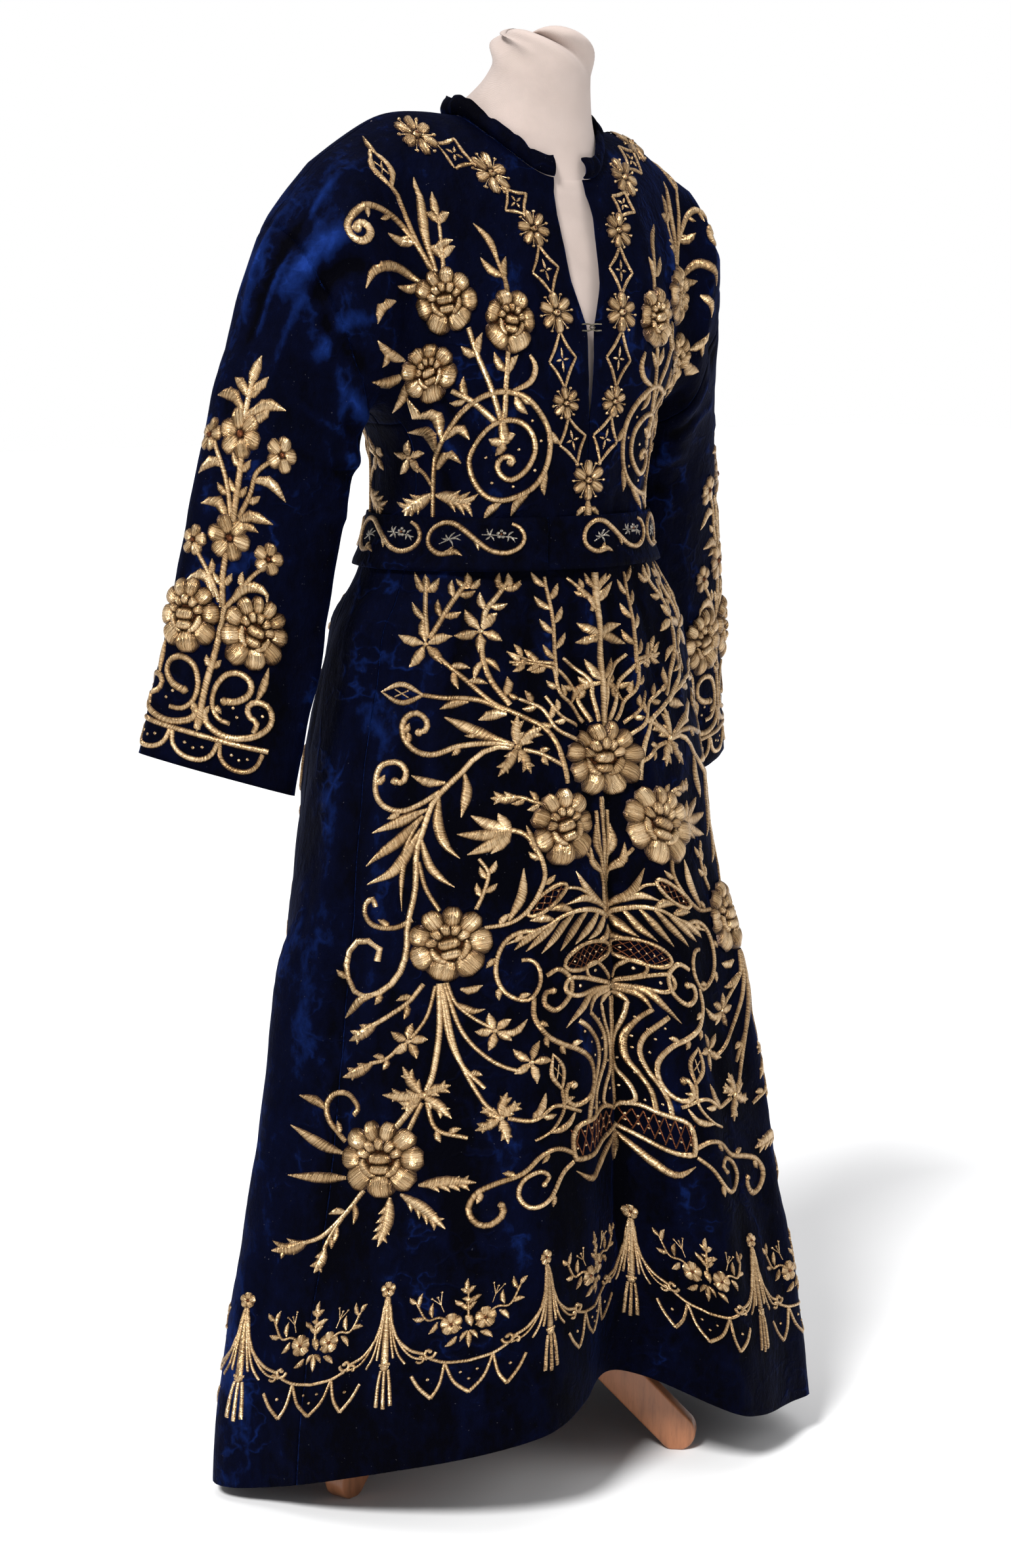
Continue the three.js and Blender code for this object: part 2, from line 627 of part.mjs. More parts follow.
// A straight board that slopes from the hub to the floor, with a round end cut flat where it stands.
function legGeometry() {
  const round = LEG.depth / 2;
  const foot = { r: LEG.reach, z: round - 1 };
  const start = HUB.radius * Math.cos(Math.PI / HUB.sides) + FIT;
  const slope = Math.PI / 4;
  const across = round / Math.cos(slope);
  const heightAt = (r) => foot.z + (foot.r - r) * Math.tan(slope);
  const lift = Math.asin(foot.z / round);
  const shape = new THREE.Shape();
  shape.moveTo(start, heightAt(start) - across);
  shape.lineTo(foot.r - round * Math.sin(slope), foot.z - round * Math.cos(slope));
  shape.absarc(foot.r, foot.z, round, -Math.PI + slope, lift - Math.PI, false);
  shape.absarc(foot.r, foot.z, round, -lift, slope, false);
  shape.lineTo(start, heightAt(start) + across);
  const board = { depth: LEG.thickness, bevelEnabled: false, curveSegments: 12 };
  const geometry = new THREE.ExtrudeGeometry(shape, board);
  geometry.translate(0, 0, -LEG.thickness / 2);
  geometry.rotateX(Math.PI / 2);
  return geometry;
}

// ---- assembly --------------------------------------------------------------------------------------

const object = new THREE.Group();

function part(name, geometry, material) {
  const mesh = new THREE.Mesh(geometry, new THREE.MeshStandardMaterial(MATERIALS[material]));
  mesh.name = name;
  object.add(mesh);
  return mesh;
}

for (const piece of ["robe_front", "robe_back", "gore_right", "gore_left", "sleeve_right", "sleeve_left"]) {
  part(piece, robe.solid(piece, CLOTH), "velvet");
}
part("neck_band", bandCloth(), "velvet");
part("belt", beltCloth(), "velvet");
part("hook", fastener(-1), "metal");
part("eye", fastener(1), "metal");
part("dress_form", formGeometry(), "form_cloth");

const stand = new THREE.Group();
stand.position.set(POLE.x, POLE.y, 0);
object.add(stand);
const pole = part("stand_pole", upright(POLE.radius, HUB.top + FIT, FORM_BOTTOM_Z - FIT, POLE.sides), "wood");
const hub = part("stand_hub", upright(HUB.radius, HUB.bottom, HUB.top, HUB.sides), "wood");
stand.add(pole, hub);
LEG.turn.forEach((turn, i) => {
  const leg = part(`stand_leg_${i + 1}`, legGeometry(), "wood");
  leg.rotation.z = THREE.MathUtils.degToRad(turn);
  stand.add(leg);
});

// The origin is the middle of the bottom of the whole object's box.
object.updateMatrixWorld(true);
const box = new THREE.Box3().setFromObject(object);
object.position.set(-(box.min.x + box.max.x) / 2, -(box.min.y + box.max.y) / 2, -box.min.z);

export default object;
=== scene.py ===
"""Embroidered velvet entari robe on a dress form with a wooden stand."""

import json
import math
import random

import bmesh
import bpy
import numpy as np
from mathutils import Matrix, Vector
from mathutils.bvhtree import BVHTree
from mathutils.kdtree import KDTree

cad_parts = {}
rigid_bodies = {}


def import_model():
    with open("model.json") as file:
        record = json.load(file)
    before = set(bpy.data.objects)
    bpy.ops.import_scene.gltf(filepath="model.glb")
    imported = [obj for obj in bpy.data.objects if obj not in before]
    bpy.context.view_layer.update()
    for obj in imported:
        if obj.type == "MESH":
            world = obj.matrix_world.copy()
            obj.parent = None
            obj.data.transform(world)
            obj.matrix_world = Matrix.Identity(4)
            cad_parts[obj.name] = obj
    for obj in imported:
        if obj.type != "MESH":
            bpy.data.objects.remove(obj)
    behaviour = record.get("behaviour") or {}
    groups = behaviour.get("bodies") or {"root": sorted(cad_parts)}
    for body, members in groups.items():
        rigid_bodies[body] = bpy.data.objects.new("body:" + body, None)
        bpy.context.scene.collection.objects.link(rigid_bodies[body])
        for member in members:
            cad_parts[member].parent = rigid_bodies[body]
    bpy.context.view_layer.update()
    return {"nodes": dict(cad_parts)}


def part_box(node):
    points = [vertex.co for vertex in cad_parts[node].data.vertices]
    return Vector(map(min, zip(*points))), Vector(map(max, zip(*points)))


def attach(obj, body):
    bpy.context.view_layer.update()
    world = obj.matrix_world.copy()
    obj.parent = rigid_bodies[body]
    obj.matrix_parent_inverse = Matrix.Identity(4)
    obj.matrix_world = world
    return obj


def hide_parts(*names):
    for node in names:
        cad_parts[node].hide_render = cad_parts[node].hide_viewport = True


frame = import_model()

bl_info = {
    "name": "Entari Robe",
    "version": (1, 0, 0),
    "blender": (4, 5, 0),
    "location": "View3D > Sidebar > Robe",
    "description": "An embroidered velvet robe on a dress form",
    "category": "Object",
}

MM = 0.001

# ---- the robe's measures, in millimetres from the robe's axis on the floor --------------------------

POLE = (-8.0, 45.0)  # the stand's pole, which places the robe in the frame
WAIST = 984.0
HALF = 6.0  # units from the centre front to the centre back
SIDE = 3.0
ARMHOLE = 0.75  # half its width, in units
GORE = 0.5
UNIT_COLUMNS = 24
BODICE_STEPS = 6
SKIRT_ROWS = 126
SLEEVE_STEPS = 13
YOKE_STEPS = 5
SEAM_RING = 1.0  # place along the sleeve's rings of the seam between sleeve and body
WALL = 1.7

SKIRT = np.array([  # height, half width, front depth, back depth
    (0, 326, 222, 250), (115, 317, 224, 243), (325, 287, 211, 220), (587, 256, 185, 190),
    (793, 230, 164, 165), (925, 203, 150, 143), (984, 170, 139, 127)], float)
BODICE = np.array([  # front, side and back heights, half width, front and back depth, middle, squareness
    (984, 984, 984, 170, 139, 127, 0, 2.0), (1036, 1036, 1036, 155, 138, 117, 0, 2.1),
    (1092, 1092, 1092, 152, 139, 116, 0, 2.15), (1142, 1142, 1142, 164, 141, 119, 0, 2.2),
    (1188, 1188, 1188, 182, 143, 126, 0, 2.3), (1234, 1238, 1238, 193, 142, 131, 0, 2.3),
    (1278, 1290, 1290, 197, 134, 130, 0, 2.3), (1318, 1342, 1340, 197, 124, 122, 0, 2.2),
    (1345, 1386, 1382, 195, 116, 112, 0, 2.1), (1360, 1418, 1412, 189, 111, 101, 0, 2.0),
    (1368, 1432, 1425, 178, 108, 90, 0, 1.9), (1375, 1441, 1434, 150, 99, 84, -8, 1.9),
    (1380, 1443, 1440, 118, 88, 80, -18, 2.0), (1383, 1441, 1444, 84, 76, 76, -29, 2.0)], float)
UNDERARM_PLACE, SHOULDER_PLACE = 3, 10  # rows of BODICE between which the armhole is open
LEAN = (0.06, 1100.0, 300.0)
SLIT = np.array([(1089, 0), (1093, 0.6), (1134, 0.6), (1188, 4), (1234, 6), (1278, 18), (1318, 22),
                 (1345, 23.5), (1360, 22), (1383, 19)], float)
HEM = np.array([  # where the hem stands at each unit, and its height
    (32, -178, 120), (161, -224, 62), (321, -124, 42), (334, 60, 30), (250, 215, 32), (150, 178, 46),
    (42, 300, 56), (-72, 176, 48), (-208, 220, 26), (-316, 58, 14), (-263, -120, 62),
    (-133, -228, 102)], float)
FOLD_RISE = 1.7
FRONT_FOLD = (0.05, 0.42, 34.0)
SLEEVES = {  # outer edge, inner edge, half depth of each ring, from the shoulder to the cuff
    -1: np.array([(-236, 4, 1401, -188, -3, 1150, 88), (-295, 8, 1333, -201, -6, 1131, 74),
                  (-331, 12, 1238, -207, -8, 1098, 60), (-366, 18, 1125, -221, -10, 1046, 47),
                  (-402, 28, 960, -250, -12, 905, 38), (-440, 35, 811, -284, -13, 759, 31)], float),
    1: np.array([(218, 8, 1385, 188, 0, 1146, 84), (265, 24, 1305, 200, 6, 1124, 68),
                 (299, 50, 1216, 206, 22, 1088, 56), (342, 82, 1100, 216, 44, 1034, 46),
                 (394, 116, 895, 236, 66, 855, 38), (414, 128, 738, 252, 70, 708, 31)], float)}
SQUARENESS = 2.25
BELT = {"bottom": 986.0, "height": 54.0, "wall": 3.0, "flare": 5.0, "flared": 0.42, "clear": 0.9}
BELT_START, BELT_UNITS = -1.15, 2 * HALF + 0.5  # its length in units, with the lap
LAP_START, LAP_RISE = 11.25, 0.75  # where its far end climbs over the near one, and over how many units
BELT_EDGE = 0.05  # share of its height over which each edge is rounded
BAND = {"height": 21.0, "wall": 3.0, "lean": 3.0, "rise": 0.6}
PINCHES = ((0.85, 1.0), (1.35, 0.6), (2.0, 1.1), (2.7, 0.7), (3.3, 1.0), (4.1, 0.8), (4.9, 1.1), (5.5, 0.6))
NECK = np.array([  # the form's neck: height, half width and depth, middle, tilt
    (1440, 77, 67, -33, 0.34), (1457, 67, 60, -41, 0.22), (1479, 56, 54, -53, 0.1), (1500, 50.5, 50.5, -61, 0.0),
    (1517, 49, 49, -63, 0), (1527, 45.5, 45.5, -63, 0), (1531, 38, 38, -63, 0), (1527, 27, 27, -63, 0),
    (1519, 16, 16, -63, 0), (1514, 7, 7, -63, 0)], float)
FORM_WALL = 2.4
FORM_CLEAR, FORM_SEATED = 7.0, 1.6  # how far inside the cloth the form stays, and where the robe rests on it


def table_origin():
    """The robe's axis on the floor, in millimetres of the frame, found from the stand's pole."""
    low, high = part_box("stand_pole")
    middle = (low + high) / 2
    return np.array([middle.x / MM - POLE[0], middle.y / MM - POLE[1], 0.0])


ORIGIN = table_origin()


def to_frame(points):
    """Millimetres from the robe's axis to metres of the frame."""
    return (np.asarray(points, float) + ORIGIN) * MM


# ---- surfaces ---------------------------------------------------------------------------------------


def cubic(p0, p1, p2, p3, t):
    return p1 + 0.5 * t * (p2 - p0 + t * (2 * p0 - 5 * p1 + 4 * p2 - p3 + (3 * (p1 - p2) + p3 - p0) * t))


def along(rows, place, closed=False):
    """A table's row at a place between its rows, on a smooth curve through them."""
    last = len(rows)
    i = math.floor(place) if closed else min(max(math.floor(place), 0), last - 2)
    pick = (lambda k: rows[k % last]) if closed else (lambda k: rows[min(max(k, 0), last - 1)])
    return cubic(pick(i - 1), pick(i), pick(i + 1), pick(i + 2), place - i)


def ring_row(a, front, back, cy, n, heights, s):
    """One ring of the body at the places s, in units from the centre front towards the wearer's left."""
    angle = np.linspace(0, math.pi / 2, 121)
    turn = (s + HALF) % (2 * HALF) - HALF
    ahead = np.abs(turn) <= SIDE
    share = np.where(ahead, np.abs(turn), 2 * SIDE - np.abs(turn)) / SIDE
    out = np.zeros((len(s), 3))
    for depth, mask, middle, sign in ((front, ahead, heights[0], -1), (back, ~ahead, heights[2], 1)):
        x, y = a * np.sin(angle) ** (2 / n), depth * np.cos(angle) ** (2 / n)
        length = np.concatenate([[0], np.cumsum(np.hypot(np.diff(x), np.diff(y)))])
        px, py = (np.interp(share[mask] * length[-1], length, v) for v in (x, y))
        out[mask] = np.stack([
            np.sign(turn[mask]) * px, cy + sign * py, heights[1] + (middle - heights[1]) * (py / depth) ** 1.5], 1)
    return out


def skirt_row(s, z):
    """The skirt's ring at a height z above the hem, measured along the cloth."""
    ring = along(SKIRT, float(index_at(SKIRT[:, 0], z)))
    points = ring_row(ring[1], ring[2], ring[3], 0, 2, (z, z, z), s)
    plain = ring_row(*SKIRT[0, 1:], 0, 2, (0, 0, 0), s)
    hem = np.array([along(HEM, float(v % (2 * HALF)), True) for v in s])
    at, half, depth = FRONT_FOLD
    offset = (s - at + HALF) % (2 * HALF) - HALF
    fold = (1 - z / WAIST) ** FOLD_RISE
    points[:, 0] += (hem[:, 0] - plain[:, 0]) * fold
    points[:, 1] += (hem[:, 1] - plain[:, 1] + depth * np.exp(-((offset / half) ** 2))) * fold
    points[:, 2] = hem[:, 2] + (WAIST - hem[:, 2]) * z / WAIST
    return points


def leaned(points, z):
    """Lowers points on the wearer's left and raises those on the right, as the shoulders stand."""
    slope, start, rise = LEAN
    points[:, 2] -= slope * points[:, 0] * np.clip((z - start) / rise, 0, 1)
    return points


def bodice_row(s, place, hand):
    """The bodice's ring at a place on its table; hand says which side of the front slit s = 0 is on."""
    front, side, back, a, f, b, cy, n = along(BODICE, place)
    points = ring_row(a, f, b, cy, n, (front, side, back), s)
    half = np.interp(points[:, 2], SLIT[:, 0], SLIT[:, 1])
    points[:, 0] += hand * half * np.clip(1 - np.abs(s) / (SIDE / 2), 0, 1)
    return leaned(points, points[:, 2])


def sleeve_ring(hand, place, shares):
    """A ring of a sleeve: share 0 is its inner edge, 0.5 its front, 1 its outer edge, 1.5 its back."""
    row = along(SLEEVES[hand], place)
    outer, inner, depth = row[:3], row[3:6], row[6]
    centre, half = (outer + inner) / 2, (outer - inner) / 2
    forward = np.array([half[1], -half[0], 0]) * np.sign(half[0])
    forward /= np.linalg.norm(forward)
    turn = math.pi * shares
    squared = lambda v: np.sign(v) * np.abs(v) ** (2 / SQUARENESS)
    return centre - half * squared(np.cos(turn))[:, None] + forward * (depth * squared(np.sin(turn)))[:, None]


def lengths_along(points):
    steps = np.linalg.norm(np.diff(points, axis=0), axis=1)
    return np.concatenate([[0], np.cumsum(steps)])


def index_at(values, value):
    """The float index at which rising values reach a value."""
    return np.interp(value, values, np.arange(len(values)))


def value_at(values, index):
    """The value at a float index."""
    return np.interp(index, np.arange(len(values)), values)


def pairs(values):
    return np.reshape(values, (-1, 2))


def nearest(values, value):
    return int(np.abs(values - value).argmin())


def unit(vectors):
    """The vectors along the last axis, made one long."""
    return vectors / (np.linalg.norm(vectors, axis=-1, keepdims=True) + 1e-9)


def resampled(points, step):
    """A smooth line through a few points, with a point about every step."""
    points = np.asarray(points, float)
    if len(points) > 2:
        ends = (2 * points[0] - points[1], 2 * points[-1] - points[-2])
        framed = np.vstack([ends[0], points, ends[1]])
        t = np.linspace(0, 1, 9)[:-1, None]
        fine = [cubic(*framed[i:i + 4], t) for i in range(len(points) - 1)]
        points = np.vstack(fine + [points[-1:]])
    run = lengths_along(points)
    count = max(2, int(round(run[-1] / step)) + 1) if step >= 1e-6 else 2
    where = np.linspace(0, run[-1], count)
    return np.stack([np.interp(where, run, points[:, k]) for k in range(points.shape[1])], 1)


# ---- the cloth, as one surface of grids that share their edges ---------------------------------------


LAST_CELL = 1.0001  # keeps a float index inside the last cell


class Grid:
    """A grid of points whose rows and columns run along the cloth."""

    def __init__(self, points, mirrored):
        self.base = self.points = points
        self.mirrored = mirrored
        self.normals = None
        self.arc = np.array([lengths_along(row) for row in points])  # along each row from its first column

    def sample(self, row, column, height):
        """Points above the finished cloth at float rows and columns."""
        rows, columns = self.points.shape[:2]
        row, column = np.clip(row, 0, rows - LAST_CELL), np.clip(column, 0, columns - LAST_CELL)
        i, j = row.astype(int), column.astype(int)
        u, v = (row - i)[:, None], (column - j)[:, None]
        mix = lambda f: ((f[i, j] * (1 - v) + f[i, j + 1] * v) * (1 - u)
                         + (f[i + 1, j] * (1 - v) + f[i + 1, j + 1] * v) * u)
        return mix(self.points) + unit(mix(self.normals)) * height[:, None]

    def column_at(self, row, run):
        """The float column that lies at an arc length along a float row."""
        row = np.clip(row, 0, len(self.arc) - LAST_CELL)
        low = row.astype(int)
        out = np.zeros((2, len(row)))
        for k in (0, 1):
            at = low + k
            for r in np.unique(at):
                m = at == r
                out[k, m] = index_at(self.arc[r], run[m])
        return out[0] * (low + 1 - row) + out[1] * (row - low)


SEAMS = (SIDE - GORE, SIDE, SIDE + GORE)
JOIN = 0.02  # points closer than this are one
BESIDE = 0.018  # how far from a seam a column stands on each side of it


def unit_columns():
    """Places of the columns from centre front to centre back, closer together beside the seams."""
    even = np.linspace(0, HALF, int(HALF * UNIT_COLUMNS) + 1)
    beside = [seam + step for seam in SEAMS for step in (-BESIDE, BESIDE)]
    return np.unique(np.round(np.concatenate([even, beside]), 4))


COLUMNS = unit_columns()
SKIRT_HEIGHTS = np.concatenate([[0, 1.5], np.linspace(0, WAIST, SKIRT_ROWS + 1)[1:]])
BODICE_PLACES = np.linspace(0, len(BODICE) - 1, (len(BODICE) - 1) * BODICE_STEPS + 1)
WAIST_ROW = len(SKIRT_HEIGHTS) - 1
ARMHOLE_ROWS = [WAIST_ROW + place * BODICE_STEPS for place in (UNDERARM_PLACE, SHOULDER_PLACE)]
FRONT, BACK, GORES, SLEEVE_PIECES = 0, 1, {-1: 2, 1: 3}, {-1: 4, 1: 5}  # numbers of the pieces
PIECES = ("robe_front", "robe_back", "gore_right", "gore_left", "sleeve_right", "sleeve_left")


def body_grid(hand):
    """Half of the body, from the centre front round to the centre back."""
    s = hand * COLUMNS
    rows = [skirt_row(s, z) for z in SKIRT_HEIGHTS]
    rows += [bodice_row(s, place, hand) for place in BODICE_PLACES[1:]]
    return Grid(np.array(rows), hand < 0)


def armhole_loop():
    """Rows and columns of the body's grid round an armhole: up its front, over the shoulder, down the back."""
    low, high = ARMHOLE_ROWS
    left, middle, right = (nearest(COLUMNS, s) for s in (SIDE - ARMHOLE, SIDE, SIDE + ARMHOLE))
    front = [(low, c) for c in range(middle, left, -1)] + [(r, left) for r in range(low, high)]
    front += [(high, c) for c in range(left, middle)]
    back = [(high, c) for c in range(middle, right)] + [(r, right) for r in range(high, low, -1)]
    back += [(low, c) for c in range(right, middle, -1)]
    return front + back, len(front)


def sleeve_grid(hand, body):
    """A sleeve's tube, from the armhole to the cuff, its columns running round from the underarm."""
    loop, half = armhole_loop()
    edge = np.array([body.base[r, c] for r, c in loop])
    run = lengths_along(np.vstack([edge, edge[:1]]))
    shares = np.where(np.arange(len(loop)) <= half, run[:-1] / run[half],
                      1 + (run[:-1] - run[half]) / (run[-1] - run[half]))
    start = sleeve_ring(hand, 0, shares)
    lines = [edge + (start - edge) * k / YOKE_STEPS for k in range(YOKE_STEPS)]
    rings = len(SLEEVES[hand]) - 1
    places = np.linspace(0, rings, rings * SLEEVE_STEPS + 1)
    lines += [sleeve_ring(hand, place, shares) for place in places]
    grid = Grid(np.array([np.vstack([line, line[:1]]) for line in lines]), hand > 0)
    grid.shares = np.append(shares, 2.0)
    grid.places = np.concatenate([np.linspace(-1, 0, YOKE_STEPS + 1)[:-1], places])
    return grid


def grid_bmesh(points):
    """A grid of faces at an array of points."""
    rows, columns = points.shape[:2]
    bm = bmesh.new()
    bmesh.ops.create_grid(bm, x_segments=columns - 1, y_segments=rows - 1, size=1)
    for vert, point in zip(bm.verts, points.reshape(-1, 3).tolist()):
        vert.co = point
    return bm


def to_mesh(bm, name):
    mesh = bpy.data.meshes.new(name)
    bm.to_mesh(mesh)
    bm.free()
    return mesh


def pour(bm, into):
    """Adds one bmesh to another."""
    mesh = to_mesh(bm, "part")
    into.from_mesh(mesh)
    bpy.data.meshes.remove(mesh)


def joined_grids(grids, labels):
    """The grids as one bmesh, joined where they meet; labels give each face its piece, -1 for none."""
    bm = bmesh.new()
    bm.faces.layers.int.new("piece")
    for grid, label in zip(grids, labels):
        small = grid_bmesh(grid.base)
        layer = small.faces.layers.int.new("piece")
        for face, number in zip(small.faces, label.ravel().tolist()):
            face[layer] = number
        if grid.mirrored:
            bmesh.ops.reverse_faces(small, faces=small.faces)
        bmesh.ops.delete(small, geom=[f for f in small.faces if f[layer] < 0], context="FACES_ONLY")
        pour(small, bm)
    bmesh.ops.delete(bm, geom=[v for v in bm.verts if not v.link_faces], context="VERTS")
    bmesh.ops.remove_doubles(bm, verts=bm.verts, dist=JOIN)
    return bm


def body_labels(hand):
    low, high = ARMHOLE_ROWS
    middle = (COLUMNS[:-1] + COLUMNS[1:]) / 2
    label = np.tile(np.where(middle < SIDE, FRONT, BACK), (WAIST_ROW + len(BODICE_PLACES) - 1, 1))
    label[:low, np.abs(middle - SIDE) < GORE] = GORES[hand]
    label[low:high, np.abs(middle - SIDE) < ARMHOLE] = -1
    return label


def sleeve_labels(hand, grid):
    middle = (grid.places[:-1] + grid.places[1:]) / 2
    label = np.tile(np.where((grid.shares[:-1] + grid.shares[1:]) / 2 < 1, FRONT, BACK), (len(middle), 1))
    label[middle > SEAM_RING] = SLEEVE_PIECES[hand]
    return label


def mesh_points(mesh):
    flat = np.empty(len(mesh.vertices) * 3)
    mesh.vertices.foreach_get("co", flat)
    return flat.reshape(-1, 3)


CREASE_STEP = 5.0
CREASE_ENDS = 4  # a crease fades out over one part in four of its length at each end
STRONG_CREASE = 4  # a crease this deep gets the full painted highlight on a ridge and the full painted shade in a trough
HEM_REACH = 62.0  # a crease that ends below this runs out at the hem


class Shell:
    """The joined cloth as arrays, so that it can be softened, creased and looked up."""

    def __init__(self, grids, labels):
        self.grids = grids
        self.mesh = to_mesh(joined_grids(grids, labels), "robe_cloth")
        count = len(self.mesh.vertices)
        self.points = mesh_points(self.mesh)
        self.painted_light = np.zeros(count)
        edges = np.empty(len(self.mesh.edges) * 2, int)
        self.mesh.edges.foreach_get("vertices", edges)
        self.edges = edges.reshape(-1, 2)
        tree = KDTree(count)
        for i, point in enumerate(self.points.tolist()):
            tree.insert(point, i)
        tree.balance()
        self.lookup = [np.array([[tree.find(point)[1] for point in row] for row in grid.base.tolist()])
                       for grid in grids]
        self.quads = np.array([tuple(p.vertices) for p in self.mesh.polygons])
        owned = np.zeros(count, bool)
        for index in self.lookup[:2]:
            owned[index.ravel()] = True
        self.on_body = owned[self.quads].all(axis=1)

    def normals(self):
        p = self.points[self.quads]
        cross = np.cross(p[:, 2] - p[:, 0], p[:, 3] - p[:, 1])
        out = np.zeros_like(self.points)
        for k in range(4):
            np.add.at(out, self.quads[:, k], cross)
        return unit(out)

    def soften(self, weight, rounds):
        """Moves points towards the middle of their neighbours, more where weight is more."""
        a, b = self.edges.T
        count = np.zeros(len(self.points))
        np.add.at(count, a, 1)
        np.add.at(count, b, 1)
        for _ in range(rounds):
            total = np.zeros_like(self.points)
            np.add.at(total, a, self.points[b])
            np.add.at(total, b, self.points[a])
            self.points += (total / count[:, None] - self.points) * weight[:, None]

    def crease(self, lines):
        """Lays soft ridges and troughs along lines: (points, depth in mm outwards, half width in mm)."""
        normals = self.normals()
        moved = np.zeros(len(self.points))
        for line, depth, width in lines:
            line = resampled(line, CREASE_STEP)
            reach = 2.5 * width
            box = np.all((self.points > line.min(0) - reach) & (self.points < line.max(0) + reach), axis=1)
            near = np.nonzero(box)[0]
            gap = np.linalg.norm(self.points[near, None] - line[None], axis=2)
            best = gap.argmin(1)
            gap = gap[np.arange(len(near)), best]
            t = best / (len(line) - 1)
            runs_out = line[-1, 2] < HEM_REACH  # full depth at the hem itself
            taper = np.clip(np.minimum(t, 1 - t + runs_out) * CREASE_ENDS, 0, 1)
            taper = taper * taper * (3 - 2 * taper)
            moved[near] += depth * taper * np.exp(-((gap / width) ** 2))
            # the same creases paint the velvet's colour: painted highlight along a ridge, painted shade along a
            # trough
            strong = np.sign(depth) * min(1, abs(depth) / STRONG_CREASE)
            self.painted_light[near] += strong * taper * np.exp(-((gap / (0.7 * width)) ** 2))
        self.points += normals * moved[:, None]

    def settle(self):
        """Gives the grids the finished points and normals."""
        normals = self.normals()
        for grid, index in zip(self.grids, self.lookup):
            grid.points = self.points[index]
            grid.normals = normals[index]
        self.mesh.vertices.foreach_set("co", self.points.ravel())


# ---- creases ----------------------------------------------------------------------------------------


def body_line(shell, places):
    """Points of the smooth body at places (s, height); one row of BODICE counts as 100 mm above the waist."""
    points = []
    for s, height in places:
        row = (index_at(SKIRT_HEIGHTS, height) if height <= WAIST
               else WAIST_ROW + (height - WAIST) / 100 * BODICE_STEPS)
        points.append(shell.grids[int(s >= 0)].base[int(round(row)), int(round(index_at(COLUMNS, abs(s))))])
    return np.array(points)


def sleeve_line(shell, hand, places):
    """Points of a smooth sleeve at (share, place)."""
    grid = shell.grids[2 if hand < 0 else 3]
    return np.array([grid.base[int(round(index_at(grid.places, place))), int(round(index_at(grid.shares, share)))]
                     for share, place in places])


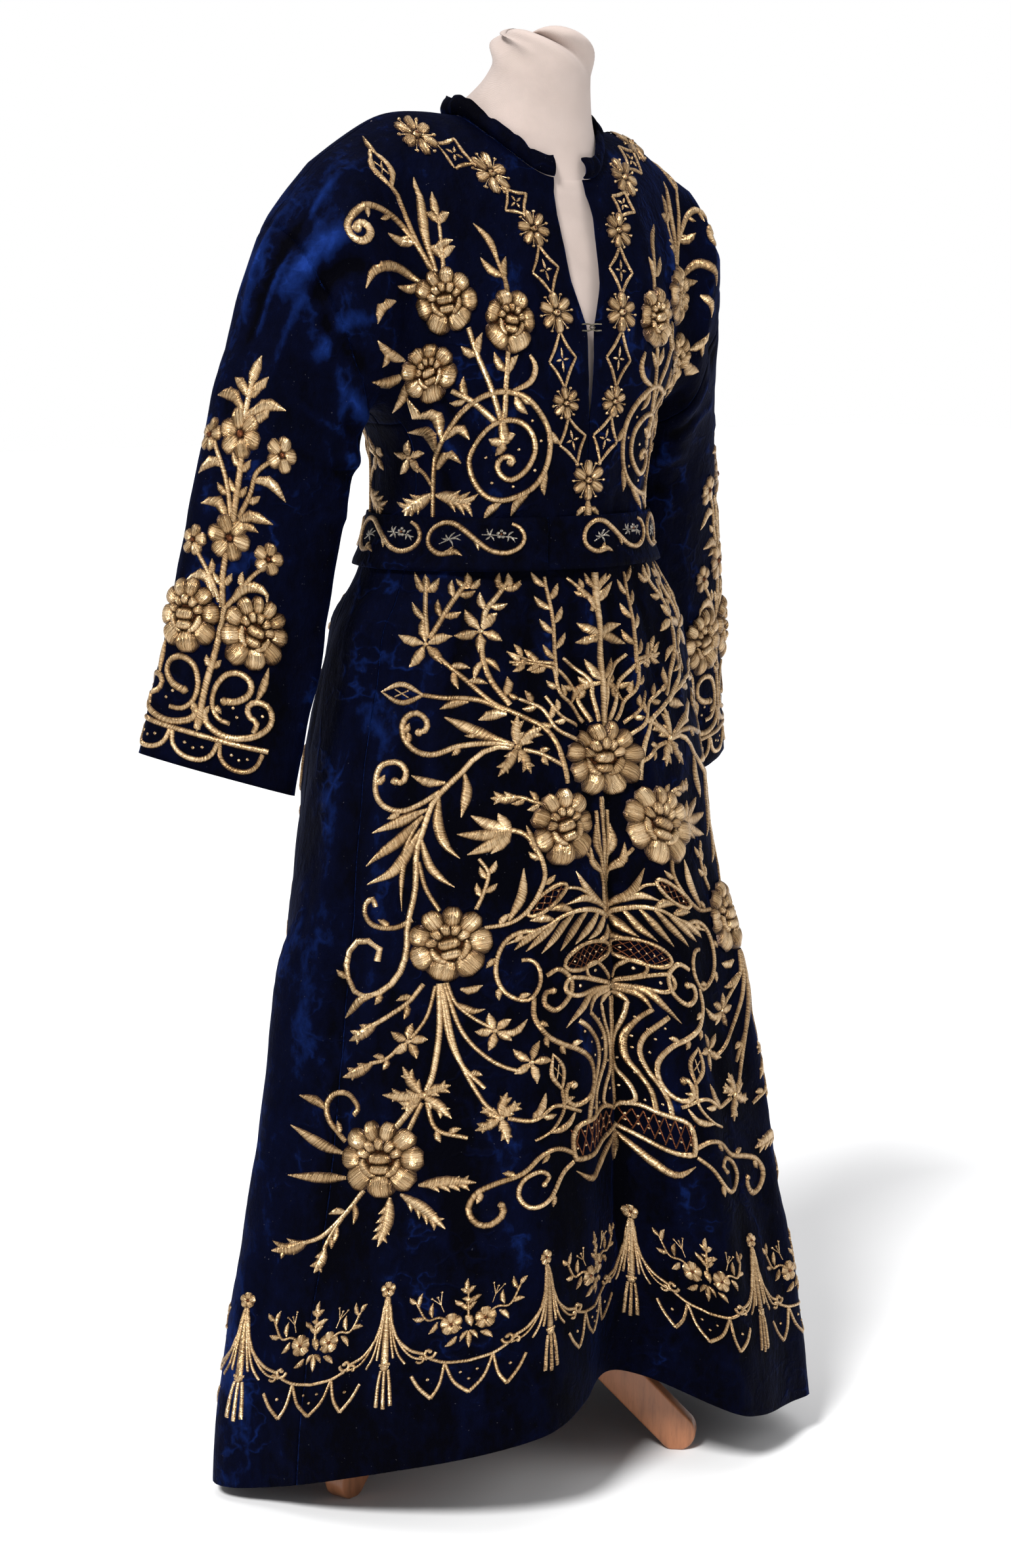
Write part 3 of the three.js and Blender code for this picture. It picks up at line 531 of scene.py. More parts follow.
# Each crease gives its depth outwards and its half width, then its places in turn: on the body the place round
# it and the height, on a sleeve the share round it and the place along it.
BODY_CREASES = [
    (-9, 8, 0.12, 860, 0.1, 700, 0.07, 450, 0.05, 250, 0.04, 60),
    # the front of the skirt's right side: two long ridges and the hollows beside them
    (5, 15, -2.35, 880, -2.3, 760, -2.25, 600, -2.3, 430), (-3.5, 14, -2.12, 860, -2.05, 700, -2.02, 560),
    (3, 13, -1.95, 905, -1.85, 780, -1.8, 640, -1.82, 520), (-5, 20, -2.6, 700, -2.55, 520, -2.5, 330, -2.45, 160),
    (4.5, 17, -2.85, 820, -2.8, 640, -2.75, 420), (-4, 22, -1.6, 470, -1.5, 330, -1.45, 180, -1.4, 60),
    (4, 22, -1.2, 400, -1.1, 240, -1.05, 90), (5, 22, -2.05, 300, -2.0, 180, -1.95, 40),
    # small pleats held in under the belt
    (-4, 8, -1.6, 980, -1.62, 900, -1.66, 820), (3.2, 8, -1.36, 980, -1.38, 915, -1.43, 850),
    (-4.5, 9, -0.85, 980, -0.83, 890, -0.8, 790), (3.5, 9, -0.62, 980, -0.62, 905, -0.6, 830),
    (-5.5, 11, -0.32, 980, -0.28, 880, -0.2, 760, -0.15, 640), (4, 10, -0.08, 975, -0.06, 870, -0.02, 740),
    (-5, 10, 0.28, 980, 0.3, 900, 0.34, 800), (4.5, 11, 0.5, 980, 0.55, 880, 0.62, 740, 0.66, 600),
    (-4, 9, 0.84, 980, 0.88, 905, 0.94, 820), (4, 11, 1.3, 980, 1.36, 880, 1.45, 740),
    (-4, 10, 1.72, 980, 1.76, 880, 1.8, 790), (4, 12, 2.2, 980, 2.24, 860, 2.3, 700),
    # the trough under the slit and the lobes of the hem, which fold sharply at the sides
    (24, 40, -3.0, 700, -3.03, 350, -3.05, 0), (-15, 38, -3.7, 640, -3.72, 300, -3.75, 0),
    (15, 27, 1.66, 640, 1.68, 300, 1.7, 0), (-9, 32, 2.3, 600, 2.35, 280, 2.35, 0),
    (12, 20, 3.35, 380, 3.4, 180, 3.4, 0), (12, 19, 5.1, 420, 5.15, 200, 5.2, 0),
    (11, 20, -4.9, 400, -4.95, 200, -5.0, 0), (-5, 13, 0.05, 760, 0.06, 600, 0.05, 420, 0.05, 240, 0.05, 60),
    (4, 17, 0.42, 620, 0.46, 440, 0.48, 260, 0.5, 80), (4, 18, -0.4, 560, -0.42, 380, -0.44, 200, -0.46, 50),
    (-4, 18, 1.05, 560, 1.1, 400, 1.16, 220, 1.2, 40), (4, 18, 1.7, 620, 1.75, 430, 1.8, 230),
    (-4.5, 20, 2.35, 500, 2.4, 340, 2.45, 150),
    # the bodice: drag lines from the underarms, across the waist and from the shoulders
    (4, 10, -2.2, 1285, -2.0, 1240, -1.75, 1190), (-3.5, 10, -2.3, 1240, -2.1, 1170, -1.9, 1110),
    (-3, 9, -2.05, 1350, -1.85, 1290, -1.62, 1250), (-3, 9, -1.2, 1000, -1.16, 1060, -1.05, 1120),
    (2.6, 9, -0.7, 1000, -0.68, 1050, -0.6, 1110), (3, 9, -1.75, 1000, -1.72, 1060, -1.66, 1120),
    (-3, 9, 0.62, 1000, 0.6, 1060, 0.55, 1130), (3, 10, 1.1, 1000, 1.12, 1060, 1.2, 1140),
    (-3, 10, 1.6, 1000, 1.65, 1070, 1.75, 1160), (4, 10, 2.2, 1285, 2.0, 1230, 1.7, 1180),
    (-3, 9, 2.3, 1350, 2.05, 1300, 1.8, 1270), (2.5, 12, -1.9, 1720, -1.75, 1620, -1.65, 1520),
    (2.5, 12, 1.9, 1720, 1.7, 1600, 1.6, 1500),
    # the back, in the same kinds
    (4.5, 13, 3.7, 970, 3.75, 860, 3.8, 700, 3.85, 520), (-4, 10, 4.05, 980, 4.1, 880, 4.15, 780),
    (5, 14, 4.4, 975, 4.45, 850, 4.5, 680, 4.5, 480), (-4, 10, 4.9, 980, 4.95, 900, 5.0, 800),
    (4.5, 13, 5.35, 980, 5.38, 860, 5.4, 690, 5.42, 500), (-4.5, 11, 5.75, 980, 5.8, 890, 5.85, 780),
    (4.5, 12, -5.9, 980, -5.85, 850, -5.8, 690), (-4, 10, -5.5, 975, -5.45, 880, -5.42, 760),
    (5, 14, -5.05, 980, -5.0, 860, -4.95, 680, -4.9, 500), (-4, 10, -4.6, 980, -4.55, 900, -4.5, 800),
    (4.5, 13, -4.15, 975, -4.1, 850, -4.05, 660), (-4, 11, -3.75, 980, -3.7, 880, -3.66, 760),
    (-5, 20, 3.5, 600, 3.45, 420, 3.4, 220), (5, 20, 4.2, 520, 4.25, 330, 4.3, 130),
    (-5, 20, 4.75, 640, 4.8, 440, 4.85, 200), (5, 20, 5.6, 560, 5.65, 360, 5.7, 150),
    (-5, 20, -5.6, 600, -5.55, 400, -5.5, 160), (5, 20, -4.8, 520, -4.75, 320, -4.7, 120),
    (-5, 20, -4.3, 640, -4.25, 440, -4.2, 220), (5, 20, -3.6, 560, -3.5, 360, -3.45, 140),
    (4, 10, 3.8, 1285, 4.05, 1230, 4.35, 1180), (-3, 10, 3.75, 1350, 4.0, 1300, 4.3, 1270),
    (4, 10, -3.8, 1290, -4.1, 1235, -4.4, 1190), (-3, 10, -3.75, 1360, -4.05, 1310, -4.35, 1280),
    (-3, 9, 4.9, 1000, 4.95, 1060, 5.05, 1130), (3, 9, 5.5, 1000, 5.52, 1060, 5.55, 1120),
    (-3, 9, -5.4, 1000, -5.38, 1060, -5.3, 1130), (3, 9, -4.7, 1000, -4.68, 1060, -4.6, 1120),
]
SLEEVE_CREASES = {
    -1: [
        (2.8, 6, 0.86, -0.5, 0.84, 0.3, 0.8, 1.0), (2.6, 5, 0.8, 0.9, 0.82, 1.5, 0.84, 2.2),
        (-2.8, 6, 0.7, 0.8, 0.56, 1.2, 0.44, 1.5), (2.4, 6, 0.95, 0.6, 0.98, 1.4, 0.97, 2.1),
        (2.4, 5, 0.66, 1.0, 0.7, 1.7, 0.7, 2.4), (2.6, 6, 0.5, 1.3, 0.42, 1.8, 0.36, 2.3),
        (2.6, 6, 0.3, 2.0, 0.45, 2.25, 0.62, 2.35), (-2.4, 6, 0.25, 2.6, 0.4, 2.75, 0.55, 2.75),
        (5, 13, 0.62, -0.3, 0.7, 0.7, 0.78, 1.7), (4, 11, 0.42, 0.1, 0.5, 0.9, 0.56, 1.9),
        (-4.5, 11, 0.52, -0.2, 0.6, 0.6, 0.66, 1.5), (-3.5, 13, 0.82, 0.4, 0.86, 1.4, 0.88, 2.3),
        (-4, 10, 0.3, 0.5, 0.42, 1.0, 0.6, 1.3), (4.5, 9, 0.14, 1.0, 0.28, 1.35, 0.46, 1.6),
        (-4, 9, 0.08, 1.5, 0.22, 1.8, 0.4, 2.0), (4, 9, 0.04, 1.9, 0.16, 2.2, 0.34, 2.4),
        (-4, 9, 0.06, 2.5, 0.2, 2.65, 0.36, 2.7), (3.6, 10, 0.05, 3.0, 0.2, 3.05, 0.4, 3.2),
        (-3, 11, 0.95, 2.6, 0.84, 2.8, 0.66, 2.9), (3, 11, 0.93, 3.3, 0.8, 3.4, 0.66, 3.45),
        (3, 12, 0.12, 3.6, 0.2, 4.2, 0.24, 4.9), (-3, 13, 0.9, 3.8, 0.86, 4.4, 0.84, 4.95),
        (4.5, 13, 1.2, 0.3, 1.3, 1.1, 1.4, 2.0), (-4, 12, 1.5, 0.5, 1.6, 1.4, 1.7, 2.2),
        (4, 10, 1.9, 1.2, 1.7, 1.6, 1.5, 1.8), (-4, 10, 1.92, 2.0, 1.75, 2.3, 1.55, 2.5),
        (4, 10, 1.95, 2.7, 1.8, 3.0, 1.6, 3.1), (3, 14, 1.3, 3.2, 1.35, 4.0, 1.4, 4.8)],
    1: [
        (2.6, 6, 0.88, -0.4, 0.85, 0.4, 0.82, 1.1), (-2.6, 6, 0.74, 0.8, 0.6, 1.2, 0.46, 1.45),
        (2.4, 6, 0.93, 0.7, 0.96, 1.5, 0.95, 2.2), (2.6, 6, 0.3, 1.9, 0.46, 2.15, 0.6, 2.3),
        (4.5, 13, 0.6, -0.2, 0.68, 0.7, 0.74, 1.6), (-4, 11, 0.4, 0.2, 0.48, 1.0, 0.56, 1.8),
        (4.5, 9, 0.16, 0.9, 0.3, 1.3, 0.48, 1.5), (-4, 9, 0.1, 1.5, 0.24, 1.75, 0.42, 1.9),
        (4, 9, 0.06, 2.1, 0.2, 2.3, 0.38, 2.5), (-4, 10, 0.08, 2.7, 0.22, 2.9, 0.38, 2.95),
        (3, 11, 0.95, 2.5, 0.84, 2.7, 0.66, 2.8), (-3, 11, 0.92, 3.2, 0.8, 3.3, 0.66, 3.4),
        (3, 12, 0.14, 3.5, 0.2, 4.2, 0.22, 4.9), (4.5, 13, 1.2, 0.3, 1.3, 1.2, 1.42, 2.0),
        (-4, 12, 1.5, 0.4, 1.6, 1.3, 1.7, 2.1), (4, 10, 1.9, 1.2, 1.72, 1.5, 1.5, 1.7),
        (-4, 10, 1.94, 2.0, 1.78, 2.2, 1.58, 2.4), (-3, 14, 1.3, 3.0, 1.36, 3.9, 1.4, 4.8)],
}


def ripples(points, seed):
    """A slow uneven swell of the cloth, longer up and down than across."""
    rng = np.random.default_rng(seed)
    total = np.zeros(len(points))
    for across, along_z, size in ((95, 300, 1.3), (55, 190, 0.8), (34, 80, 0.4)):
        for _ in range(3):
            turn = rng.uniform(-0.5, 0.5)
            phase = rng.uniform(0, 2 * math.pi, 2)
            x = points[:, 0] * math.cos(turn) + points[:, 1] * math.sin(turn)
            y = points[:, 1] * math.cos(turn) - points[:, 0] * math.sin(turn)
            wave = np.sin(2 * math.pi * x / across + phase[0] + 1.5 * np.sin(points[:, 2] / along_z * 2 * math.pi))
            along_wave = np.sin(2 * math.pi * (y / (1.3 * across) + points[:, 2] / along_z) + phase[1])
            total += size * wave * along_wave / 1.7
    return total


SOFT_REACH, SOFT_ROUNDS = 30, 40  # how far from an armhole the cloth is softened, and how many times
FAR, BATCH = 1e3, 4000  # a gap beyond any reach, and how many points are measured at once
SEAM_DIP = 0.9


def make_shell():
    """The whole cloth: grids joined, softened at the armholes and creased."""
    bodies = [body_grid(-1), body_grid(1)]
    sleeves = [sleeve_grid(-1, bodies[0]), sleeve_grid(1, bodies[1])]
    shell = Shell(bodies + sleeves, [body_labels(-1), body_labels(1), sleeve_labels(-1, sleeves[0]),
                                     sleeve_labels(1, sleeves[1])])
    loops = np.vstack([np.array([body.base[r, c] for r, c in armhole_loop()[0]]) for body in bodies])
    gap = np.full(len(shell.points), FAR)
    near = np.nonzero((shell.points[:, 2] > 1050) & (np.abs(shell.points[:, 0]) > 90))[0]  # about the armholes
    for start in range(0, len(near), BATCH):
        part = near[start:start + BATCH]
        gap[part] = np.linalg.norm(shell.points[part, None] - loops[None], axis=2).min(1)
    shell.soften(0.6 * np.exp(-((gap / SOFT_REACH) ** 2)), SOFT_ROUNDS)
    lines = [(body_line(shell, pairs(values)), depth, width) for depth, width, *values in BODY_CREASES]
    for hand, creases in SLEEVE_CREASES.items():
        lines += [(sleeve_line(shell, hand, pairs(values)), depth, width) for depth, width, *values in creases]
    shell.crease(lines)
    normals, z = shell.normals(), shell.points[:, 2]
    calm = np.clip((z - 60) / 200, 0.4, 1) * np.clip((1400 - z) / 60, 0.15, 1)  # calmer at the hem and neck
    shell.points += normals * (ripples(shell.points, 11) * calm)[:, None]
    shell.points -= normals * (SEAM_DIP * seam_mask(shell))[:, None]
    shell.settle()
    return shell


def seam_mask(shell):
    """1 on the seams' own points, where the cloth dips to its stitching."""
    mask = np.zeros(len(shell.points))
    low, high = ARMHOLE_ROWS
    for index in shell.lookup[:2]:
        for s in (SIDE - GORE, SIDE + GORE):
            mask[index[:low + 1, nearest(COLUMNS, s)]] = 1
        mask[index[high:, nearest(COLUMNS, SIDE)]] = 1
    for grid, index in zip(shell.grids[2:], shell.lookup[2:]):
        ring = nearest(grid.places, SEAM_RING)
        mask[index[ring]] = 1
        mask[index[:ring, nearest(grid.shares, 1)]] = 1
        mask[index[:, 0]] = 1
    return mask


# ---- finishing a piece ------------------------------------------------------------------------------


def place_mesh(mesh, points):
    """Gives a mesh points in the robe's millimetres, moved into the frame."""
    mesh.vertices.foreach_set("co", to_frame(points).ravel())


def new_object(name, mesh, *finishes):
    mesh.polygons.foreach_set("use_smooth", [True] * len(mesh.polygons))
    mesh.update()
    piece = bpy.data.objects.new(name, mesh)
    bpy.context.scene.collection.objects.link(piece)
    for finish in finishes:
        mesh.materials.append(finish)
    return piece


def body_piece(name, mesh, slot, node, *finishes):
    """A piece of the one body, and the node it stands for, if any; slot is not used."""
    piece = new_object(name, mesh, *finishes)
    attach(piece, "root")
    if node:
        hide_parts(node)
    return piece


def wall(piece, thickness, lining=False):
    """Gives cloth its thickness inwards from its face, in metres."""
    solid = piece.modifiers.new("wall", "SOLIDIFY")
    solid.thickness = thickness
    solid.offset = -1
    solid.use_rim = True
    solid.material_offset = int(lining)


# ---- metal thread work --------------------------------------------------------------------------------
# Everything is laid out flat in millimetres, x towards the wearer's left and y up, then set on the cloth.

GOLD, COPPER, SILVER = 0.0, 1.0, 2.0  # tones of thread: pale gold, reddish couching, grey gold wire
FLUSH = 2400  # vertices that the working bmesh holds before it is poured out
SEATED = -0.5  # height of a strip's edges, which lie in the pile
SEAT = 0.15  # how far all the work is lifted off the cloth's face


def towards(angle):
    """The step of length one at an angle in radians from the x axis."""
    return np.array([math.cos(angle), math.sin(angle)])


def angle_of(step):
    return math.atan2(step[1], step[0])


def spot_on(line, share):
    """The point at a share of a line and the line's angle there, in radians."""
    i = min(len(line) - 2, int(share * (len(line) - 1)))
    return line[i], angle_of(line[i + 1] - line[i])


def turned(at, degrees):
    """A function that gives the points measured from at along axes turned by an angle."""
    c, s = math.cos(math.radians(degrees)), math.sin(math.radians(degrees))
    at = np.asarray(at, float)
    return lambda x, y: at + (c * x - s * y, s * x + c * y)


def tapered(w, w1=None):
    """Half widths that run evenly from w to w1."""
    w1 = w1 or w
    return [w, (w + w1) / 2, w1]


class Stitches:
    """Raised strips of metal thread, laid flat until they are set on the cloth."""

    def __init__(self, seed, bold=1.0):
        self.rng = random.Random(seed)
        self.done = bmesh.new()
        self.fresh()
        self.flip = 1
        self.bold = bold  # how much wider than drawn the strips are

    def fresh(self):
        self.small = bmesh.new()
        self.thread = self.small.verts.layers.float_vector.new("thread")

    def flush(self):
        pour(self.small, self.done)
        self.fresh()

    def strip(self, line, widths, high, cells=None, across=4, tone=GOLD, lift=0.0, radial=False,
              groove=0.0, ends=0.35, step=None, shaded_ends=False, puff=False):
        """A domed strip along a line; widths are its half widths at even places along it.

        A radial strip's threads run along it, others' across it; puff rounds both ends, shaded ends get painted shade
        as a strip's sides do, groove sinks its middle, and ends is how much of its height it keeps at the ends.
        """
        line = np.asarray(line, float) * (self.flip, 1)
        widths = [self.bold * w for w in widths]
        run = lengths_along(line)[-1]
        widest = max(widths)
        cells = cells or max(3, min(30, int(round(run / (step or max(3.2, 1.3 * widest))))))
        path = resampled(line, run / cells)
        cells = len(path) - 1
        t, v = np.linspace(0, 1, cells + 1), np.linspace(-1, 1, across + 1)
        half = np.interp(t, np.linspace(0, 1, len(widths)), widths)
        ahead = unit(np.gradient(path, axis=0))
        side = np.stack([-ahead[:, 1], ahead[:, 0]], 1)
        tip = (np.sin(math.pi * np.clip(t, 0.03, 0.97)) ** 0.55 if puff
               else np.clip(np.minimum(t, 1 - t) * cells / 1.2 + ends, 0, 1))
        dome = np.sqrt(np.clip(1 - v * v, 0, 1)) - groove * np.exp(-((v / 0.22) ** 2))
        height = lift + (high * tip * np.clip(half / (0.55 * widest), 0.25, 1))[:, None] * dome
        height[:, [0, -1]] = lift + SEATED
        out = half[:, None] * v
        place = path[:, None] - side[:, None] * out[..., None]
        stripe = out if radial else lengths_along(path)[:, None] + 0.35 * out
        # edge is the distance from the strip's middle line, which the thread's colour turns into painted shade at its
        # sides, and here at its ends too
        edge = np.tile(v, (cells + 1, 1))
        if shaded_ends:
            edge = np.maximum(np.abs(edge), (np.abs(2 * t - 1) ** 4)[:, None])
        shade = np.full(edge.shape, tone + self.rng.uniform(0.02, 0.6))
        thread = np.dstack([stripe + self.rng.uniform(0, 50), edge, shade])
        before = len(self.small.verts)
        bmesh.ops.create_grid(self.small, x_segments=across, y_segments=cells, size=1)
        self.small.verts.ensure_lookup_table()
        points, threads = (v.reshape(-1, 3).tolist() for v in (np.dstack([place, height]), thread))
        for vert, point, value in zip(self.small.verts[before:], points, threads):
            vert.co = point
            vert[self.thread] = value
        if len(self.small.verts) > FLUSH:
            self.flush()

    # -- lines and leaves --

    def stem(self, *points, w=2.7, w1=None, high=1.5, **more):
        self.strip(points, tapered(w, w1), high, **more)

    def wire(self, *points, w=0.9, tone=GOLD):
        self.strip(points, [w, w], 0.8, across=2, tone=tone, ends=1, step=5)

    def leaf(self, a, b, w=5.2, bend=0.12, high=1.9, **more):
        """A lens-shaped leaf from a to b."""
        a, b = np.asarray(a, float), np.asarray(b, float)
        d = b - a
        middle = (a + b) / 2 + bend * np.array([-d[1], d[0]])
        self.strip([a, middle, b], [0.25 * w, 0.8 * w, w, 0.93 * w, 0.6 * w, 0.12 * w], high, **more)

    def blade(self, *points, w=5.6, high=2.2):
        """A leaf that bends along a few points, from its foot to its tip."""
        self.strip(points, [0.34 * w, 0.62 * w, 0.92 * w, w, 0.86 * w, 0.5 * w, 0.12 * w], high)

    def run(self, points, w=2.6, w1=None, barbs=(), bulb=0, size=15, high=2.0):
        """A smooth line; a blade stands at each share in barbs, on the side of its sign, and a bulb may end it."""
        self.strip(points, tapered(w, w1), high, step=4.5)
        line = resampled(points, 3)
        for t in barbs:
            at, angle = spot_on(line, abs(t))
            ray = towards(angle + math.copysign(math.radians(38), t))
            self.leaf(at, at + size * ray, 3.9, math.copysign(0.1, t))
        if bulb:
            self.dot(line[-1], bulb, 2.6)

    def runs(self, *rows):
        """Smooth lines, each with its end widths, barbs and barbs' size, then each point's x and y in turn."""
        for w, w1, barbs, size, *values in rows:
            self.run(pairs(values), w, w1, barbs, size=size)

    def blades(self, *rows):
        """Bending leaves, each with its width, then each point's x and y in turn."""
        for w, *values in rows:
            self.blade(*pairs(values), w=w)

    def leaves(self, *rows):
        """Lens-shaped leaves, each with its width, both ends' x and y, and its bend if it has its own."""
        for w, x0, y0, x1, y1, *bend in rows:
            self.leaf((x0, y0), (x1, y1), w, *bend)

    def spray(self, at, angle, lengths, spread, w):
        """Leaves fanned from one point; angle in degrees from the x axis is where the middle one points."""
        for k, length in enumerate(lengths):
            off = k - (len(lengths) - 1) / 2
            ray = towards(math.radians(angle + spread * off))
            start = np.asarray(at, float) + 1.5 * ray
            self.leaf(start, start + length * ray, w * min(1, length / 24) + 0.6, 0.1 * off)

    def pair(self, at, angle, size, w, spread=48):
        """Two leaves, one each side of a stem that runs at an angle in degrees."""
        for hand in (-1, 1):
            ray = towards(math.radians(angle + hand * spread))
            self.leaf(at + 1.5 * ray, at + size * ray, w, -0.16 * hand)

    def sprig(self, points, size, w, stem, tip):
        """A stem with two pairs of leaves and a leaf at its tip."""
        line = resampled(points, 4)
        self.stem(*points, w=stem, w1=0.7 * stem)
        for k, share in enumerate((0.25, 0.92)):
            at, angle = spot_on(line, share)
            self.pair(at, math.degrees(angle), size * (1 - 0.12 * k), w)
        self.leaf(line[-1], line[-1] + tip * unit(line[-1] - line[-2]), w)

    def serrated(self, a, b, teeth, w, base):
        """A long leaf made of short slanting blades on both sides of a rib."""
        a, b = np.asarray(a, float), np.asarray(b, float)
        self.leaf(a, b, base + 1.6, 0.05, lift=0.4)
        for k in range(teeth):
            t = 0.12 + 0.68 * k / teeth
            size = w * 2.0 * (0.75 + 0.5 * math.sin(math.pi * (0.25 + 0.6 * t)))
            self.pair(a + (b - a) * t, math.degrees(angle_of(b - a)), size, 3.4, 30)

    def curl(self, centre, r0, r1, start, turns, w, w1=None):
        """A spiral from radius r0 at angle start (degrees) to r1, with a bulb at its inner end."""
        t = np.linspace(0, 1, max(8, int(abs(turns) * 14)))
        angle = math.radians(start) + 2 * math.pi * turns * t
        radius = r0 + (r1 - r0) * t ** 0.9
        line = np.stack([centre[0] + radius * np.cos(angle), centre[1] + radius * np.sin(angle)], 1)
        self.strip(line, tapered(w, w1), 1.9, cells=max(8, int(abs(turns) * 18)))
        self.dot(line[-1], 1.25 * (w1 or w), 2.2)
        return line

    def scroll(self, points, centre, r, start, turns, w, cusps):
        """A line that runs into a curl; small blades stand on it at the shares in cusps."""
        line = resampled(points, 4)
        end = self.curl(centre, r, 0.3 * r, start, turns, w, 1.15 * w)
        self.stem(*points, end[0], w=0.8 * w, w1=w, high=1.7)
        for t in cusps:
            at, angle = spot_on(line, t)
            self.leaf(at, at + 12 * towards(angle + math.radians(62)), 2.6, 0.1, high=1.5)

    def twig(self, at, angle, length):
        """A thin forked wire twig with a bead at each tip."""
        fork = at + 0.35 * length * towards(math.radians(angle))
        for start, turn, size in ((at, 0, 1.0), (fork, 28, 0.7), (fork, -26, 0.75)):
            tip = start + size * length * 0.72 * towards(math.radians(angle + turn))
            self.wire(start, tip, w=0.7)
            self.dot(tip, 1.4, 1.2)

    def dot(self, at, r=2.0, high=1.2, tone=GOLD):
        at = np.asarray(at, float)
        self.strip([at - (r, 0), at + (r, 0)], [0.3 * r, 0.85 * r, r, 0.85 * r, 0.3 * r], high, cells=4,
                   tone=tone, ends=0.5)

    def sequin(self, at, r=1.7):
        self.dot(at, r, 0.7, tone=GOLD + 0.3)

    def sequins(self, r, *values):
        for at in pairs(values):
            self.sequin(at, r)

    def petal(self, at, angle, inner, outer, w, high, across=6, shaded_ends=False):
        """A rounded petal whose threads run out from the flower's middle."""
        ray = towards(math.radians(angle))
        self.strip([at + inner * ray, at + (inner + outer) / 2 * ray, at + outer * ray],
                   [0.45 * w, 0.8 * w, w, 0.98 * w, 0.55 * w], high, ends=0.45, radial=True, cells=5,
                   across=across, shaded_ends=shaded_ends)

    # -- flowers --

    def blossom(self, at, r, petals=5, turn=90, high=2.0, w=0.52, shaded_ends=False):
        """A small flower of rounded petals."""
        for k in range(petals):
            self.petal(at, turn + 360 * k / petals, 0.16 * r, r, w * r, high, 4, shaded_ends)
        self.dot(at, 0.17 * r, high + 1.4, tone=COPPER)

    def neck_flower(self, at, r, turn=90):
        """Six separate petals with a beaded stamen in each gap and a raised middle."""
        for k in range(6):
            self.petal(at, turn + 60 * k, 0.2 * r, r, 0.29 * r, 3.0, shaded_ends=True)
            ray = towards(math.radians(turn + 30 + 60 * k))
            self.wire(at + 0.3 * r * ray, at + 0.86 * r * ray, w=0.8)
            self.dot(at + 0.93 * r * ray, 1.9, 1.7)
        self.dot(at, 0.2 * r, 4.0)
        self.dot(at, 0.1 * r, 5.0, tone=COPPER)

    def star(self, at, r, turn, w):
        """A flower of five pointed leaves."""
        for k in range(5):
            ray = towards(math.radians(turn + 72 * k))
            size = r * self.rng.uniform(0.9, 1.08)
            self.leaf(at + 0.1 * r * ray, at + size * ray, w, 0.07)
        self.dot(at, 3.0, 2.6)
        self.sequin(at, 1.4)

    def rose(self, at, rx, ry, turn, petals):
        """A padded rose: a ring of full petals, a scalloped arc inside them and pads in the middle."""
        axes = turned(at, turn)
        spot = lambda x, y: axes(x * rx, y * ry)
        ray = lambda r, a: spot(r * math.cos(a), r * math.sin(a))
        bold, self.bold = self.bold, 1.0
        self.strip([spot(-0.78, 0), spot(0, 0), spot(0.78, 0)],
                   [k * ry for k in (0.2, 0.58, 0.74, 0.78, 0.74, 0.58, 0.2)], 1.6,
                   cells=10, across=6, tone=COPPER, ends=1)
        shares = np.array([1 - 0.27 * math.sin(math.pi / 2 + 2 * math.pi * (k + 0.5) / petals)
                           + self.rng.uniform(-0.07, 0.07) for k in range(petals)])
        edges = math.pi / 2 + np.concatenate([[0], np.cumsum(shares)]) / shares.sum() * 2 * math.pi
        for low, high in zip(edges, edges[1:]):
            a, half = (low + high) / 2, (high - low) / 2
            inner, outer = ray(0.47 if math.sin(a) > -0.3 else 0.38, a), ray(self.rng.uniform(0.96, 1.05), a)
            wide = 0.83 * half * (rx + ry) / 2
            self.strip([inner, (inner + outer) / 2, outer],
                       [k * wide for k in (0.60, 0.84, 0.98, 1.04, 0.92, 0.5)], 7.5, cells=8, across=8,
                       radial=True, puff=True, groove=0.38 if half > 0.4 else 0.0, lift=0.3, shaded_ends=True)
        for k in range(5):  # the scalloped arc above the middle
            low, high = (math.radians(8 + 33 * (k + d)) for d in (0.02, 0.98))
            self.strip([ray(0.42, a) for a in (low, (low + high) / 2, high)],
                       [0.15 * rx, 0.19 * rx, 0.15 * rx], 5.6, cells=5, across=5, lift=2.4, puff=True, shaded_ends=True)
        for hand in (-1, 1):
            pad = [spot(hand * 0.42 * math.cos(a), 0.44 * math.sin(a)) for a in np.radians(np.linspace(-74, 4, 5))]
            self.strip(pad, [k * rx for k in (0.05, 0.11, 0.13, 0.12, 0.06)], 5.0, cells=8, across=5, lift=2.2)
        for y, w, h in ((0.05, 0.27, 0.17), (-0.235, 0.25, 0.145)):
            self.strip([spot(-w, y), spot(0, y - 0.02), spot(w, y)],
                       [k * h * ry for k in (0.66, 1, 1.05, 1, 0.66)], 6.0, cells=7, across=7, lift=2.6,
                       ends=0.15, shaded_ends=True)
        self.bold = bold

    def bud(self, at, angle, length, w):
        """An open bud: two curved leaves round a small cross of wire."""
        axes = turned(at, angle)
        for hand in (-1, 1):
            self.strip([axes(0, 0), axes(0.5 * length, hand * w), axes(length, 0)], [1.6, 3.0, 2.6, 0.8], 1.6)
        for hand in (-1, 1):
            self.wire(axes(0.34 * length, -0.4 * hand * w), axes(0.66 * length, 0.4 * hand * w))

    def diamond(self, at, w, h, turn):
        """A diamond of four slightly hollow sides round a cross of four small petals."""
        axes = turned((0, 0), turn)
        corners = [axes(x, y) for x, y in ((w, 0), (0, h), (-w, 0), (0, -h))]
        for a, b in zip(corners, corners[1:] + corners[:1]):
            self.strip([at + a, at + 0.45 * (a + b), at + b], [1.6, 2.3, 1.6], 1.5, ends=0.7)
        for corner in corners:
            ray = unit(corner)
            self.leaf(at + 1.2 * ray, at + 0.36 * corner + 2 * ray, 1.9, 0, high=1.2, cells=3, across=3)

